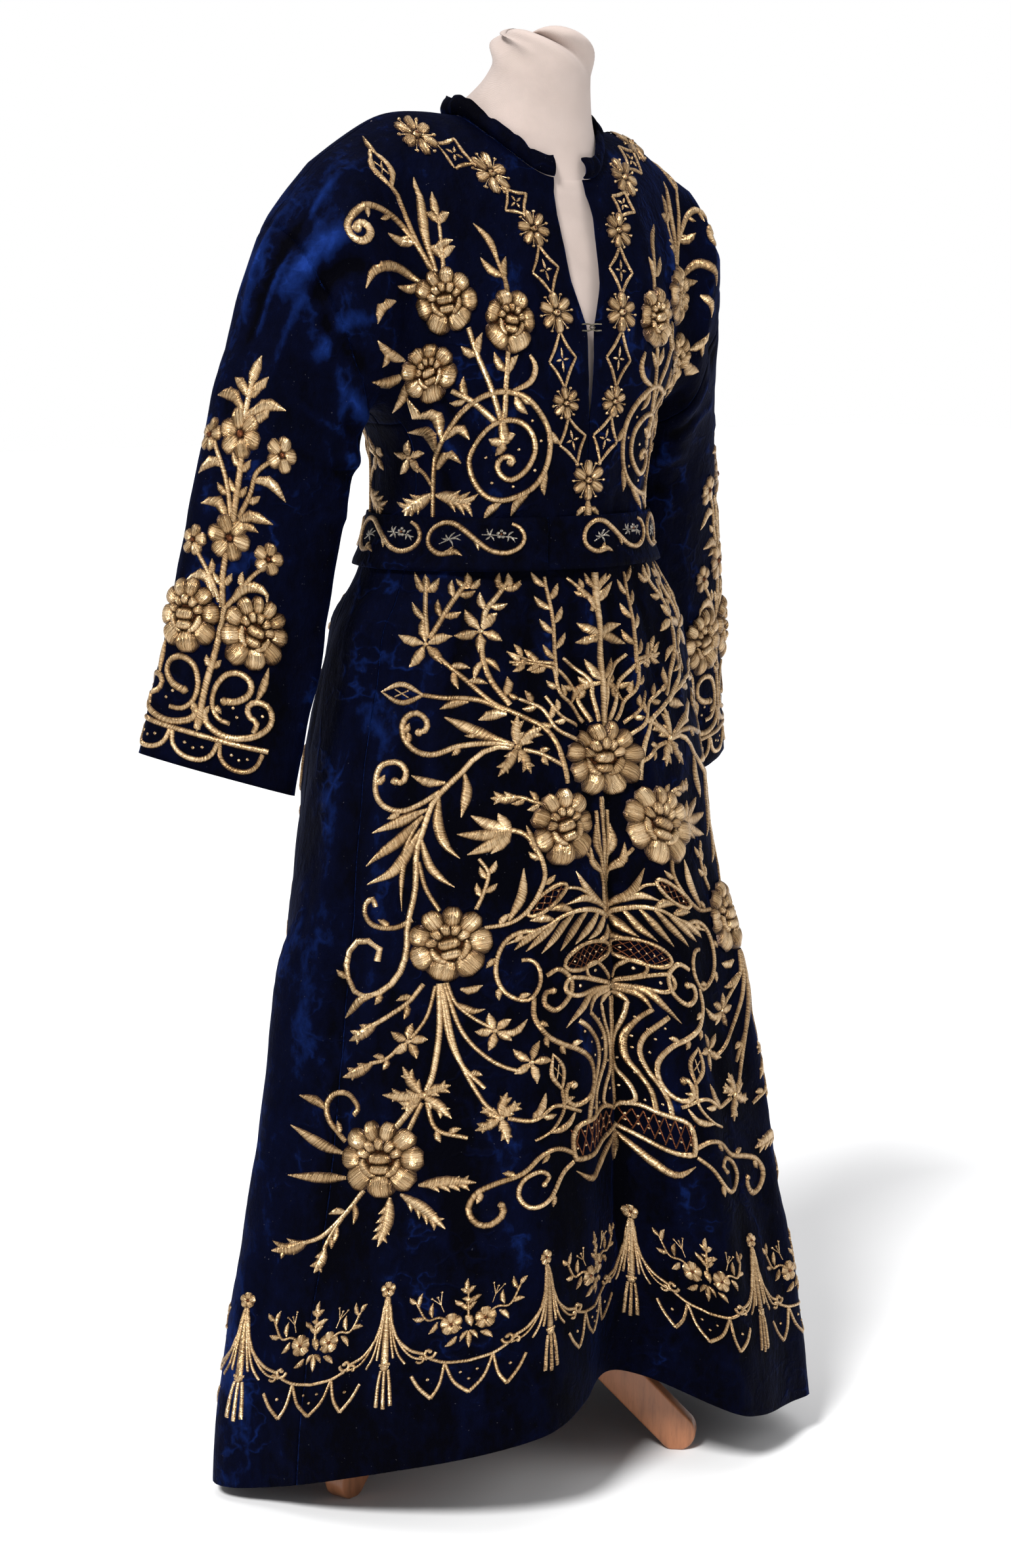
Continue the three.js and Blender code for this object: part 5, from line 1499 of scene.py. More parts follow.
def side_vine(s):
    """The tall vine on one side of the skirt, from the waist down to the lower rose."""
    # star flowers and forked stems under the belt
    s.star((-188, 908), 29, 160, 5.6)
    s.star((-131, 920), 26, 115, 5.6)
    s.runs(
        (2.6, 2.4, (0.3, -0.8, 0.8), 22, -186, 916, -184, 942, -177, 978),
        (2.8, 2.4, (0.35, -0.4, 0.7, -0.75), 20, -184, 914, -171, 932, -158, 948, -134, 976),
        (2.8, 2.4, (0.3, -0.4, 0.75, -0.8), 21, -128, 924, -122, 942, -107, 958, -90, 978))
    for x, y in ((-178, 962), (-134, 966), (-92, 964)):
        s.spray((x, y), 90, (15, 18, 15), 48, 5.2)
    s.runs(
        (2.6, 3, (0.14, -0.16, 0.24), 21, -186, 905, -167, 884, -153, 870, -138, 853, -123, 838, -104, 827,
         -76, 810, -60, 788, -52, 758, -50, 738),
        (3, 3.2, (0.28, -0.3), 24, -131, 912, -131, 888, -123, 862, -107, 836))
    s.blades((5, -112, 846, -106, 858, -107, 868))
    s.bud((-195, 853), 173, 46, 10)
    s.runs((2.4, 3.2, (), 15, -195, 853, -175, 849, -153, 847, -134, 842, -112, 829))
    s.blades((4.6, -150, 843, -166, 842, -180, 837), (6, -112, 826, -126, 827, -142, 822))
    # the serrated flower and the stems that run through it
    for tip in ((-100, 824), (-72, 808), (-92, 756), (-128, 757)):
        s.serrated((-104, 788), tip, 2, 6, 3.4)
    s.runs((2.6, 2.4, (0.4, -0.5), 14, -98, 784, -79, 777, -54, 760))
    s.dot((-104, 788), 4.4, 3.6)
    s.strip([(-108, 791), (-140, 806), (-176, 828)], [2.4, 3.4, 6.2, 5.2, 1.0], 2.4)
    s.leaves((3, -142, 808, -158, 806))
    s.run([(-108, 790), (-130, 795), (-164, 795), (-190, 788), (-208, 792), (-219, 804), (-221, 818), (-216, 830),
           (-203, 834), (-194, 824), (-197, 815), (-204, 813)], 3.0, 3.2, (-0.62, -0.68, 0.3), bulb=4.2, size=13)
    s.runs(
        (3, 3.4, (0.81, 0.7), 15, -110, 788, -130, 790, -149, 781, -164, 766, -182, 751, -197, 735, -208, 711,
         -219, 686, -223, 662, -226, 641, -232, 622, -239, 604, -242, 582, -249, 560, -262, 543, -281, 533,
         -299, 534, -311, 546, -315, 564, -309, 583, -293, 594, -276, 589, -268, 577, -274, 569))
    s.run([(-188, 747), (-208, 736), (-230, 729), (-247, 736), (-254, 751), (-251, 770), (-243, 781), (-229, 782),
           (-222, 771), (-227, 760), (-234, 762)], 2.8, 3.2, (-0.56, 0.3), bulb=4.2, size=15)
    # long drooping leaves
    s.blades(
        (5, -182, 756, -200, 758, -217, 767), (5.2, -162, 764, -161, 744, -170, 716),
        (5.2, -203, 729, -230, 719, -262, 708), (5.6, -208, 722, -236, 698, -274, 673),
        (5.6, -212, 708, -231, 681, -248, 663, -275, 653), (5.4, -190, 741, -194, 711, -188, 686, -176, 671),
        (4.6, -213, 697, -208, 668, -196, 650, -185, 640),
        (3.2, -211, 719, -229, 692, -236, 668, -241, 642, -243, 620))
    s.runs((2.4, 2.4, (), 15, -219, 672, -214, 642, -203, 616))
    # the middle rose with its hook, sprigs and leaves
    s.runs((2.8, 3, (-0.3,), 15, -232, 610, -252, 603, -273, 608, -282, 620, -280, 632, -270, 637, -268, 628))
    s.blades((4.6, -280, 533, -300, 528, -324, 511))
    s.runs((2.6, 2.6, (-0.25, 0.4), 18, -230, 538, -248, 520, -270, 508, -290, 499))
    s.serrated((-284, 502), (-322, 486), 2, 7, 4.0)
    s.blades((4.6, -193, 527, -183, 523, -170, 527))
    s.runs(
        (2.4, 2, (0.25, -0.35, 0.6, -0.7), 17, -166, 612, -157, 628, -149, 650, -157, 668),
        (2.4, 3, (0.1, -0.5, 0.68), 18, -160, 590, -130, 592, -107, 607, -89, 632, -88, 651, -95, 673,
         -107, 689, -122, 696))
    s.blades((5.4, -134, 594, -117, 620, -111, 650), (4.4, -93, 662, -98, 680, -103, 698))
    for tip in ((-176, 698), (-160, 717), (-132, 716), (-168, 674), (-144, 672)):
        s.leaf((-120, 695), tip, 6.2, 0.06)
    s.runs((2.4, 2.2, (0.3, -0.4, 0.7), 17, -70, 715, -89, 722, -104, 730, -118, 732))
    s.serrated((-108, 731), (-138, 734), 2, 6, 3.8)
    # stems hanging from the rose to the star flowers
    s.runs(
        (2.2, 2, (), 15, -218, 534, -231, 502, -250, 480),
        (3.2, 3.2, (), 15, -214, 536, -220, 487, -232, 443, -243, 420),
        (2.6, 2.2, (), 15, -209, 536, -198, 480, -175, 444, -148, 425, -134, 428),
        (2.2, 2, (), 15, -206, 536, -200, 512, -184, 492, -166, 477),
        (2.8, 2.4, (), 15, -211, 534, -207, 460, -190, 402, -174, 378),
        (3, 2.4, (0.84,), 14, -212, 536, -212, 480, -203, 442, -184, 412))
    s.blades((4.2, -200, 512, -184, 500, -171, 500))
    s.star((-254, 477), 21, 70, 5.2)
    s.star((-164, 474), 22, 100, 5.2)
    s.star((-132, 431), 24, 60, 5.0)
    s.blades((4.2, -160, 472, -144, 468, -129, 480))
    s.runs((2.2, 2.4, (0.5, -0.6), 14, -262, 474, -280, 461, -300, 458))
    s.serrated((-296, 458), (-336, 447), 2, 6, 3.6)
    for tip in ((-264, 450), (-291, 422), (-218, 422), (-223, 385), (-272, 404)):
        s.serrated((-248, 416), tip, 2, 6, 3.8)
    s.dot((-248, 416), 4.6, 3.6)
    s.runs((2.6, 2.4, (-0.5, 0.7), 15, -245, 408, -240, 376, -210, 360))
    for tip in ((-162, 403), (-201, 367), (-190, 392), (-150, 388), (-170, 346)):
        s.serrated((-173, 376), tip, 2, 5, 3.4)
    s.dot((-173, 376), 4.0, 3.4)
    s.runs((2.6, 2.2, (0.3, -0.42, 0.7), 20, -166, 374, -139, 365, -110, 373, -76, 355))
    s.blades((4.8, -139, 366, -128, 376, -121, 392))
    # the lower rose among its leaves
    s.blades((6, -350, 364, -372, 374, -401, 399), (5.8, -349, 336, -376, 339, -415, 345))
    s.runs((2.8, 2.4, (0.2, -0.35, 0.5), 24, -329, 320, -354, 298, -389, 276, -416, 269))
    s.serrated((-408, 271), (-450, 262), 2, 8, 4.2)
    s.runs((2.4, 2.4, (0.6,), 14, -360, 293, -383, 270, -392, 258))
    s.serrated((-388, 262), (-407, 236), 2, 6, 3.8)
    s.serrated((-301, 308), (-321, 256), 4, 7, 4.4)
    s.serrated((-289, 310), (-249, 264), 4, 7, 4.4)
    s.serrated((-268, 317), (-209, 309), 4, 7, 4.4)
    s.runs((3, 3, (-0.12,), 15, -344, 376, -360, 398, -361, 418, -349, 430, -331, 427, -322, 412, -329, 404))
    s.blades((5.2, -362, 414, -371, 424, -386, 431))
    s.runs((3.4, 3.2, (), 15, -282, 384, -254, 410), (2.8, 2.6, (), 15, -268, 380, -250, 408))
    s.rose((-198, 577), 43, 41, 6, 8)
    s.rose((-304, 351), 47, 43, -8, 9)


def skirt_vines():
    s = Stitches(5, 1.2)
    both_sides(s, side_vine)
    return s


def skirt_centre():
    s = Stitches(6, 1.2)
    both_sides(s, centre_bouquet)
    both_sides(s, flower_vase)
    s.run([(3, 800), (3, 843), (1, 880), (5, 910), (7, 948), (9, 980)], 3.8, 4.2, (0.3, -0.3, 0.9, -0.9), size=22,
          high=2.8)
    for tip in ((-22, 923), (-24, 900), (37, 919), (41, 896)):
        s.leaf((5, 908), tip, 6.0, 0.05)
    for hand in (-1, 1):
        s.blade((3, 857), (3 + hand * 10, 864), (3 + hand * 19, 880), w=4.6)
        s.blade((6, 946), (6 + hand * 12, 954), (6 + hand * 24, 968), w=4.8)
    s.rose((2, 762), 51, 44, 0, 10)
    s.rose((-58, 688), 39, 45, 12, 8)
    s.rose((74, 688), 52, 46, -14, 9)
    return s


CHAIN = ((-148, 1424), (-88, 1386), (-57, 1331), (-43, 1247), (-32, 1156), (-10, 1076))
CHAIN_SIZES = (20, 20, 19, 21, 17, 21)


def neck_chain(s):
    """The chain of six-petalled flowers with a hollow diamond between each two, down one side of the slit."""
    flowers = [np.array(at, float) for at in CHAIN]
    for k, (at, following) in enumerate(zip(flowers, flowers[1:])):
        r = CHAIN_SIZES[k]
        s.neck_flower(at, r, math.degrees(angle_of(following - flowers[max(k - 1, 0)])))
        size, ray = np.linalg.norm(following - at), unit(following - at)
        near, far = 0.88 * r, size - 0.88 * CHAIN_SIZES[k + 1]
        s.diamond(at + ray * (near + far) / 2, min(17, 0.36 * size + 2), (far - near) / 2,
                  math.degrees(angle_of(ray)) + 90)
        for end in (near, far):
            s.stem(at + ray * (end - 3), at + ray * (end + 3), w=2.6, high=1.8)


def bodice_side(s):
    """The roses, sprays and big spiral on one side of the chest."""
    s.rose((-172, 1264), 35, 32, 8, 8)
    s.rose((-101, 1240), 29, 32, -10, 6)
    s.rose((-192, 1194), 29, 30, 20, 7)
    # sprays over the upper rose
    s.stem((-180, 1290), (-192, 1316), (-200, 1344), (-205, 1376), w=3.2, w1=2.2)
    s.bud((-205, 1374), 94, 36, 9)
    s.leaves((3.2, -203, 1404, -204, 1424))
    s.scroll([(-184, 1296), (-196, 1322), (-214, 1346), (-236, 1355), (-256, 1344)], (-249, 1330), 15, 125, 1.1, 3.4,
             (0.35, 0.6, 0.85))
    s.strip([(-178, 1292), (-184, 1330), (-178, 1384)], [2.4, 3.0, 5.2, 4.4, 0.8], 2.2)
    s.sprig([(-170, 1292), (-168, 1318), (-166, 1346)], 20, 4.8, 2.6, 24)
    s.leaves((4.6, -196, 1322, -223, 1330), (4.6, -178, 1310, -154, 1322))
    s.strip([(-198, 1284), (-222, 1298), (-244, 1290), (-254, 1274)], [2.6, 4.2, 4.8, 4.0, 0.8], 2.0)
    s.leaves((4.4, -197, 1281, -222, 1279), (4.8, -226, 1264, -246, 1240, -0.2))
    # sprays over the middle rose
    s.stem((-100, 1270), (-102, 1284), (-112, 1316), w=3.0, w1=2.0)
    s.leaves((4.6, -103, 1284, -126, 1304), (4.4, -101, 1280, -96, 1304), (4.2, -106, 1300, -128, 1338, -0.1))
    # leaves beside the lower rose
    s.leaves(
        (5.2, -218, 1206, -246, 1224), (5.6, -218, 1192, -248, 1182), (5.2, -214, 1186, -224, 1154),
        (3, -236, 1214, -240, 1198))
    # three stems that gather to a crown in the spiral
    s.stem((-150, 1236), (-139, 1207), (-122, 1174), (-108, 1142), w=2.8, w1=3.2, high=2.2)
    s.leaves((4.6, -140, 1208, -158, 1218), (4.8, -139, 1206, -134, 1230))
    s.stem((-104, 1212), (-105, 1180), (-104, 1142), w=2.8, w1=3.2, high=2.2)
    s.leaves((4.8, -106, 1190, -120, 1210), (4.6, -103, 1188, -92, 1206))
    s.stem((-166, 1174), (-142, 1162), (-114, 1140), w=2.6, w1=3.2, high=2.2)
    s.leaves((4.6, -148, 1164, -154, 1188), (3.6, -148, 1164, -166, 1162))
    s.strip([(-108, 1146), (-104, 1132), (-99, 1116)], [4.4, 4.2, 5.4, 4.6], 2.8)
    for tip in ((-118, 1122), (-108, 1104), (-90, 1126)):
        s.leaf((-101, 1119), tip, 5.0)
    # the side stem, which runs into the big spiral
    spiral = pairs([-172, 1030, -172, 1067, -171, 1095, -165, 1123, -156, 1146, -142, 1160, -125, 1168,
                    -105, 1170, -83, 1164, -66, 1150, -52, 1129, -49, 1106, -54, 1087, -66, 1071, -83, 1062,
                    -101, 1058, -118, 1064, -130, 1081, -134, 1101, -129, 1121, -117, 1136, -100, 1141,
                    -83, 1137, -70, 1124, -66, 1106, -74, 1089, -89, 1079, -100, 1083, -105, 1093, -100, 1102,
                    -91, 1102, -88, 1096])
    s.strip(spiral, [2.2, 2.4, 2.8, 3.0, 3.0, 3.0, 3.0, 2.8, 2.8, 2.8, 2.7, 2.8, 2.9, 2.8, 2.8, 3.0], 2.5, cells=110,
            across=5)
    s.dot((-91, 1097), 4.4, 2.8)
    s.strip([(-97, 1170), (-77, 1178), (-71, 1193), (-78, 1206)], [2.0, 3.2, 3.4, 1.6], 2.2)
    s.leaves(
        (4.6, -94, 1166, -78, 1146, -0.1), (4.2, -51, 1129, -36, 1114, -0.1), (4.4, -52, 1086, -54, 1062, -0.1),
        (4.6, -70, 1068, -90, 1042, -0.1), (4.2, -100, 1056, -118, 1038, -0.1),
        (3.4, -88, 1166, -70, 1156, -0.1))
    s.sequins(1.6, -72, 1139, -60, 1118, -65, 1088, -88, 1072, -110, 1076, -117, 1102, -84, 1110)
    # long bending leaves on the side stem
    for w, *line in ((6.0, -167, 1123, -179, 1150, -202, 1147), (5.6, -170, 1108, -182, 1131, -204, 1132),
                     (5.0, -164, 1121, -152, 1135, -138, 1122), (5.0, -168, 1090, -157, 1106, -142, 1096)):
        s.strip(pairs(line), [1.8, 3.6, w, 0.94 * w, 0.6 * w, 0.8], 2.2)
    s.serrated((-173, 1064), (-212, 1044), 3, 10, 4.4)
    s.serrated((-169, 1063), (-131, 1054), 3, 10, 4.4)
    s.star((-202, 1101), 21, 90, 5.0)
    s.stem((-194, 1092), (-183, 1085), (-173, 1072), w=2.2)


def bodice_work():
    s = Stitches(8, 1.22)
    both_sides(s, bodice_side)
    s.bold = 1.0
    both_sides(s, neck_chain)
    s.neck_flower((0, 1076), 21)
    s.strip([(0, 1056), (0, 1040), (0, 1026)], [2.2, 6.0, 5.2, 3.0], 3.0)
    for hand in (-1, 1):
        s.leaf((hand * 2, 1048), (hand * 15, 1038), 4.2, 0.14 * hand)
    return s


def sleeve_work(hand):
    """The work on the lower half of a sleeve; x runs from the sleeve's front to its outer edge."""
    s = Stitches(31 + hand, 1.2)
    s.flip = hand
    axis = 40
    # scalloped border over the cuff
    s.run([(axis - 79, 37), (0, 35), (axis, 35), (80, 35), (axis + 76, 38)], 2.7, 2.7)
    for c in (axis - 50, axis, axis + 50):
        s.run([(c - 24, 33), (c - 20, 19), (c - 9, 11), (c + 8, 11), (c + 20, 19), (c + 24, 33)], 2.5, 2.5)
        for d in (-9, 0, 9):
            s.sequin((c + d, 24 - (d == 0) * 3), 1.7)
    # the pair of scrolled frames with the stem between them
    s.run([(axis, 40), (axis + 1, 80), (axis - 1, 120), (axis, 166)], 3.6, 3.2, (0.12, -0.12, 0.5, -0.5), size=13)
    s.blade((axis, 62), (axis, 50), (axis, 38), w=5.2)
    for side in (-1, 1):
        X = lambda *points: [(axis - side * (40 - x), y) for x, y in points]
        s.run(X((19, 74), (6, 77), (-5, 87), (-4, 99), (9, 105), (23, 100), (31, 84), (30, 67), (21, 56), (8, 54)),
              3.6, 2.4, (-0.8,), size=12)
        s.run(X((38, 60), (30, 47), (8, 40), (-17, 46), (-32, 58), (-35, 71), (-27, 81), (-14, 82), (-7, 75),
                (-11, 66), (-20, 62), (-19, 51)), 3.4, 3.0)
        s.dot(X((19, 74))[0], 4.2, 2.6)
        s.blade(*X((-14, 83), (-18, 100), (-19, 119)), w=4.4)
        for at in X((8, 70), (2, 62), (-24, 70)):
            s.sequin(at, 1.7)
    s.rose((4, 148), 37, 38, 8, 10)
    s.rose((76, 145), 34, 37, -10, 9)
    # stems, leaves and flowers of the tall spray
    s.runs(
        (2.8, 2.2, (-0.5,), 16, 39, 163, 30, 179, 19, 200, 10, 212),
        (2.8, 2.2, (0.5,), 16, 46, 167, 61, 188, 80, 208), (3.4, 3, (0.4, -0.4), 16, 42, 163, 48, 190, 50, 215),
        (2.8, 2.2, (0.3,), 16, 45, 250, 39, 275, 38, 296, 26, 314),
        (2.8, 2.2, (-0.3,), 16, 53, 250, 64, 275, 74, 290, 90, 308),
        (3.6, 3.2, (0.35, -0.4, 0.7, -0.75), 16, 50, 244, 54, 286, 58, 312),
        (3.2, 2.8, (0.1, -0.2, 0.6, -0.6), 16, 66, 332, 69, 352, 72, 366))
    s.blades(
        (5.6, 36, 167, 22, 189, 2, 191, -3, 180), (5.6, 52, 170, 66, 188, 85, 176),
        (5.6, 46, 244, 34, 256, 9, 257), (4.4, 44, 240, 34, 246, 22, 244), (5.6, 56, 244, 68, 258, 86, 251),
        (5.4, 40, 288, 22, 294, 1, 283), (5.4, 72, 290, 86, 291, 101, 277), (5.2, 62, 338, 50, 354, 29, 360),
        (4.6, 58, 336, 48, 345, 45, 356), (5.2, 70, 338, 84, 348, 106, 344), (4.4, 72, 352, 80, 358, 90, 360),
        (5.6, 72, 360, 73, 372, 74, 384), (4.4, 70, 358, 62, 364, 58, 374))
    for at, r in (((6, 223), 16), ((86, 216), 15), ((18, 323), 17), ((98, 312), 15)):
        s.blossom(at, r, 5, 90, 3.0, 0.40, True)
    for at in ((50, 229), (65, 322)):
        s.blossom(at, 22, 6, 60, 3.2, 0.36, True)
    return s


def belt_work():
    """Long scrolls round the belt with a fine wire sprig in each."""
    s = Stitches(41)
    for k in range(8):
        x = 111 * k - 8
        X = lambda *points: [(x + 0.95 * a, b) for a, b in points]
        s.strip(X((31, 18.5), (16, 17), (4, 23), (0, 32), (4, 42), (16, 48.5), (29, 47.5), (42, 40), (56, 30),
                  (71, 21), (88, 18.5), (102, 24), (107, 34), (101, 44), (92, 48)),
                [2.6, 3.0, 2.9, 2.7, 2.8, 3.0, 3.2, 3.4, 3.2, 3.0, 2.9, 2.9, 2.8, 2.6, 2.0], 2.3, cells=40, across=5)
        s.leaf((x + 20, 19.5), (x + 39, 15.5), 3.4)
        s.leaf((x + 46, 36), (x + 55, 21), 3.4)
        s.leaf((x + 24, 18), (x + 29, 25), 2.2)
        s.wire((x + 13, 27), (x + 24, 32), (x + 35, 37), w=0.8, tone=SILVER)
        for d in ((28, 25), (29, 39), (19, 37), (36, 31), (15, 33)):
            s.leaf((x + 23, 32), (x + d[0], d[1]), 1.4, tone=SILVER, high=0.9)
        s.wire((x + 57, 37), (x + 72, 36.5), (x + 94, 33), w=0.8, tone=SILVER)
        for turn in range(5):
            a = math.radians(90 + 72 * turn)
            s.dot((x + 77 + 3.4 * math.cos(a), 37.5 + 3.4 * math.sin(a)), 1.9, 1.6, tone=SILVER)
        s.dot((x + 77, 37.5), 1.3, 2.2, tone=COPPER)
        for d in ((62, 43), (61, 32), (90, 40), (92, 29), (84, 30), (68, 43), (70, 31)):
            s.leaf((x + (66 if d[0] < 72 else 84), 36), (x + d[0], d[1]), 1.4, tone=SILVER, high=0.9)
    return s


# ---- belt, neck band, form and stand --------------------------------------------------------------------


def belt_grid():
    """The belt's outer side; its far end laps over its near one."""
    round_it = np.linspace(0, BELT_UNITS, 301)
    s = BELT_START + round_it
    over = np.clip((round_it - LAP_START) / LAP_RISE, 0, 1)
    over = over * over * (3 - 2 * over)
    rows = []
    for t in np.linspace(0, 1, 13):
        z = BELT["bottom"] + BELT["height"] * t
        low = ring_row(*SKIRT[-1, 1:], 0, 2, (z, z, z), s)
        high = ring_row(*BODICE[1, 3:8], (z, z, z), s)
        points = low + (high - low) * min(1, (z - WAIST) / (BODICE[1, 1] - WAIST))
        points[:, 2] = z
        flare = BELT["flare"] * max(0, 1 - t / BELT["flared"]) ** 1.3
        stand = (BELT["clear"] + BELT["wall"]) * (1 + over) + flare
        sway = 0.5 * np.sin(s * 5.1 + 2 * t) * (1 - abs(2 * t - 1)) + 0.35 * np.sin(s * 11.3)
        edge = 1.1 * math.exp(-((t / BELT_EDGE) ** 2)) + math.exp(-(((1 - t) / BELT_EDGE) ** 2))
        points += unit(points * (1, 1, 0)) * (stand + 0.4 * sway - edge)[:, None]
        rows.append(points)
    grid = Grid(np.array(rows), False)
    grid.normals = unit(np.cross(np.gradient(grid.base, axis=1), np.gradient(grid.base, axis=0)))
    return grid


def belt_mapper(grid):
    """x is the length round the belt from the centre front, y the height above its lower edge."""
    rows, columns = grid.points.shape[:2]
    arc = grid.arc[rows // 2]
    front = value_at(arc, -BELT_START / BELT_UNITS * (columns - 1))

    def place(x, y, height):
        return grid.sample(y / BELT["height"] * (rows - 1), index_at(arc, front + x), height)
    return place


def band_grid():
    """The standing band: softly rolled, a little gathered, open at the centre front."""
    places, base = [], []
    for hand, s in ((1, np.linspace(0, HALF, 90)), (-1, np.linspace(-HALF, 0, 90)[1:])):
        places.append(s)
        base.append(bodice_row(s, len(BODICE) - 1, hand))
    s, base = np.concatenate(places), np.vstack(base)
    out = unit((base - (0, BODICE[-1, 6], 0)) * (1, 1, 0))
    lines = []
    for t in np.linspace(0, 1, 11):
        pinch = sum(depth * np.exp(-(((np.abs(s) - at - 0.12 * (t - 0.5)) / 0.10) ** 2)) for at, depth in PINCHES)
        gather = (0.7 * np.sin(s * 9.5 + 1.3 * np.sin(s * 2.1)) * math.sin(math.pi * t) + 0.5 * np.sin(s * 3.3)
                  - 1.1 * pinch * math.sin(math.pi * min(1, 0.25 + 0.75 * t)))
        bulge = BAND["wall"] / 2 - BAND["lean"] * t * t + 4.2 * math.sin(math.pi * min(1, 1.1 * t)) ** 0.6
        height = BAND["rise"] + (BAND["height"] + 0.9 * np.sin(s * 4.3 + 1) + 0.5 * np.sin(s * 9.1) - 2.4 * pinch) * t
        lines.append(base + out * (bulge + gather)[:, None] + np.stack([0 * s, 0 * s, height], 1))
    return Grid(np.array(lines), False)


def form_rings():
    """The form's rings from under the waist to the gathered top of its neck."""
    s = np.linspace(0, 2 * HALF, 97)[:-1]
    last = len(BODICE) - 1
    skirt = lambda s, place: ring_row(*along(SKIRT, min(place, 6.0))[1:4], 0, 2, (WAIST - 100 * (6 - place),) * 3, s)
    body = lambda s, place: bodice_row(s, min(max(place, 0.0), last), 0)
    cuts = [(skirt, place, clear) for place, clear in ((5.0, 22), (5.04, 21.4), (5.5, 14.0), (5.95, FORM_CLEAR))]
    cuts += [(body, place, FORM_CLEAR + (FORM_SEATED - FORM_CLEAR) * min(max((place - 8) / 2, 0), 1))
             for place in np.linspace(0.4, last - 0.06, 58)]
    rings = []
    for at, place, clear in cuts:
        normal = np.cross(at(s + 0.05, place) - at(s - 0.05, place), at(s, place + 0.05) - at(s, place - 0.05))
        rings.append(at(s, place) - unit(normal) * (FORM_WALL + clear))
    turn = math.pi * s / HALF
    for place in np.linspace(0, len(NECK) - 1, 46):
        z, a, b, cy, tilt = along(NECK, place)
        gather = min(max((place - 2.4) / 2.8, 0), 1)
        twist = turn + 0.5 * (place - 5)
        fold = 0.17 * np.sin(4 * twist + 0.8) + 0.10 * np.sin(7 * twist + 2.1)
        swell = 1 + fold * gather * min(max((9 - place) / 2, 0), 1)
        x, y = a * swell * np.sin(turn), -b * swell * np.cos(turn)
        lift = gather * np.clip((9.5 - place) / 3, 0, 1) * (
            4.2 * np.sin(2 * twist + 0.5) + 3.4 * np.sin(5 * twist) - 4.5 * np.sin(turn) - 4)
        rings.append(leaned(np.stack([x, cy + y, z + tilt * y + lift], 1), z))
    return rings


def build_form(finish):
    bm = grid_bmesh(to_frame([np.vstack([ring, ring[:1]]) for ring in form_rings()]))
    bmesh.ops.remove_doubles(bm, verts=bm.verts, dist=1e-5)
    bmesh.ops.holes_fill(bm, edges=[e for e in bm.edges if e.is_boundary], sides=0)
    bmesh.ops.poke(bm, faces=[f for f in bm.faces if len(f.verts) > 4])
    bmesh.ops.recalc_face_normals(bm, faces=bm.faces)
    piece = body_piece("form", to_mesh(bm, "form"), "form_cloth", "dress_form", finish)


def cad_piece(node):
    found = frame["nodes"][node]
    return found if isinstance(found, bpy.types.Object) else bpy.data.objects[node]


def rounded_copy(node, finish, width):
    """A stand piece as its CAD solid with its sharp edges rounded by a width in metres."""
    bm = bmesh.new()
    bm.from_mesh(cad_piece(node).data)
    bmesh.ops.remove_doubles(bm, verts=bm.verts, dist=1e-5)
    bmesh.ops.dissolve_limit(bm, angle_limit=math.radians(3), verts=bm.verts, edges=bm.edges)
    sharp = [e for e in bm.edges if len(e.link_faces) == 2 and e.calc_face_angle(0) > math.radians(35)]
    bmesh.ops.bevel(bm, geom=sharp, offset=width, segments=4, affect="EDGES", profile=0.5, material=-1)
    body_piece(node + "_wood", to_mesh(bm, node + "_wood"), "wood", node, finish)


# ---- settings, operators and panel ------------------------------------------------------------------------


def colour_prop(name, description, default):
    return bpy.props.FloatVectorProperty(name=name, description=description, default=default, subtype="COLOR",
                                         size=3, min=0, max=1)


def size_prop(name, description, default, low, high):
    return bpy.props.FloatProperty(name=name, description=description, default=default, min=low, max=high,
                                   unit="LENGTH")


class RobeColours(bpy.types.PropertyGroup):
    """The colours of the cloth, the thread, the form and the stand."""

    velvet_deep: colour_prop("Velvet shade", "Velvet where the pile stands away from the light",
                             (0.0003, 0.0003, 0.0016))
    velvet_body: colour_prop("Velvet", "The velvet's body colour", (0.0007, 0.0014, 0.009))
    # velvet light is reached where the pile is brushed lighter at random and where highlight is painted on ridges,
    # upper arms, chest and skirt sides
    velvet_bright: colour_prop("Velvet light", "Velvet on brushed folds", (0.0035, 0.013, 0.078))
    velvet_sheen: colour_prop("Velvet sheen", "The light caught at the tips of the pile", (0.015, 0.055, 0.31))
    # thread light and thread shade are the ramp's ends: painted highlight on the turns' crowns, painted shade between
    # turns and at a strip's sides, besides random tone
    thread_light: colour_prop("Thread light", "Pale gold thread", (0.96, 0.735, 0.46))
    thread_mid: colour_prop("Thread", "Gold thread", (0.385, 0.232, 0.1))
    thread_shade: colour_prop("Thread shade", "Gold thread between its turns", (0.05, 0.022, 0.009))
    couching: colour_prop("Couching", "The reddish cord that outlines the petals", (0.22, 0.075, 0.03))
    form: colour_prop("Form", "The form's cotton", (0.52, 0.43, 0.39))
    wood: colour_prop("Wood", "The stand's wood", (0.36, 0.14, 0.06))


class RobeSizes(bpy.types.PropertyGroup):
    """The sizes that can be changed."""

    wall: size_prop("Cloth", "Thickness of the velvet and its lining", WALL * MM, 0.001, 0.003)
    belt: size_prop("Belt", "Thickness of the belt", 2.4 * MM, 0.001, 0.003)
    edge: size_prop("Stand edge", "Rounding of the stand's wooden edges", 2.6 * MM, 0.0005, 0.005)


MADE = {}  # what one operator makes and a later one needs


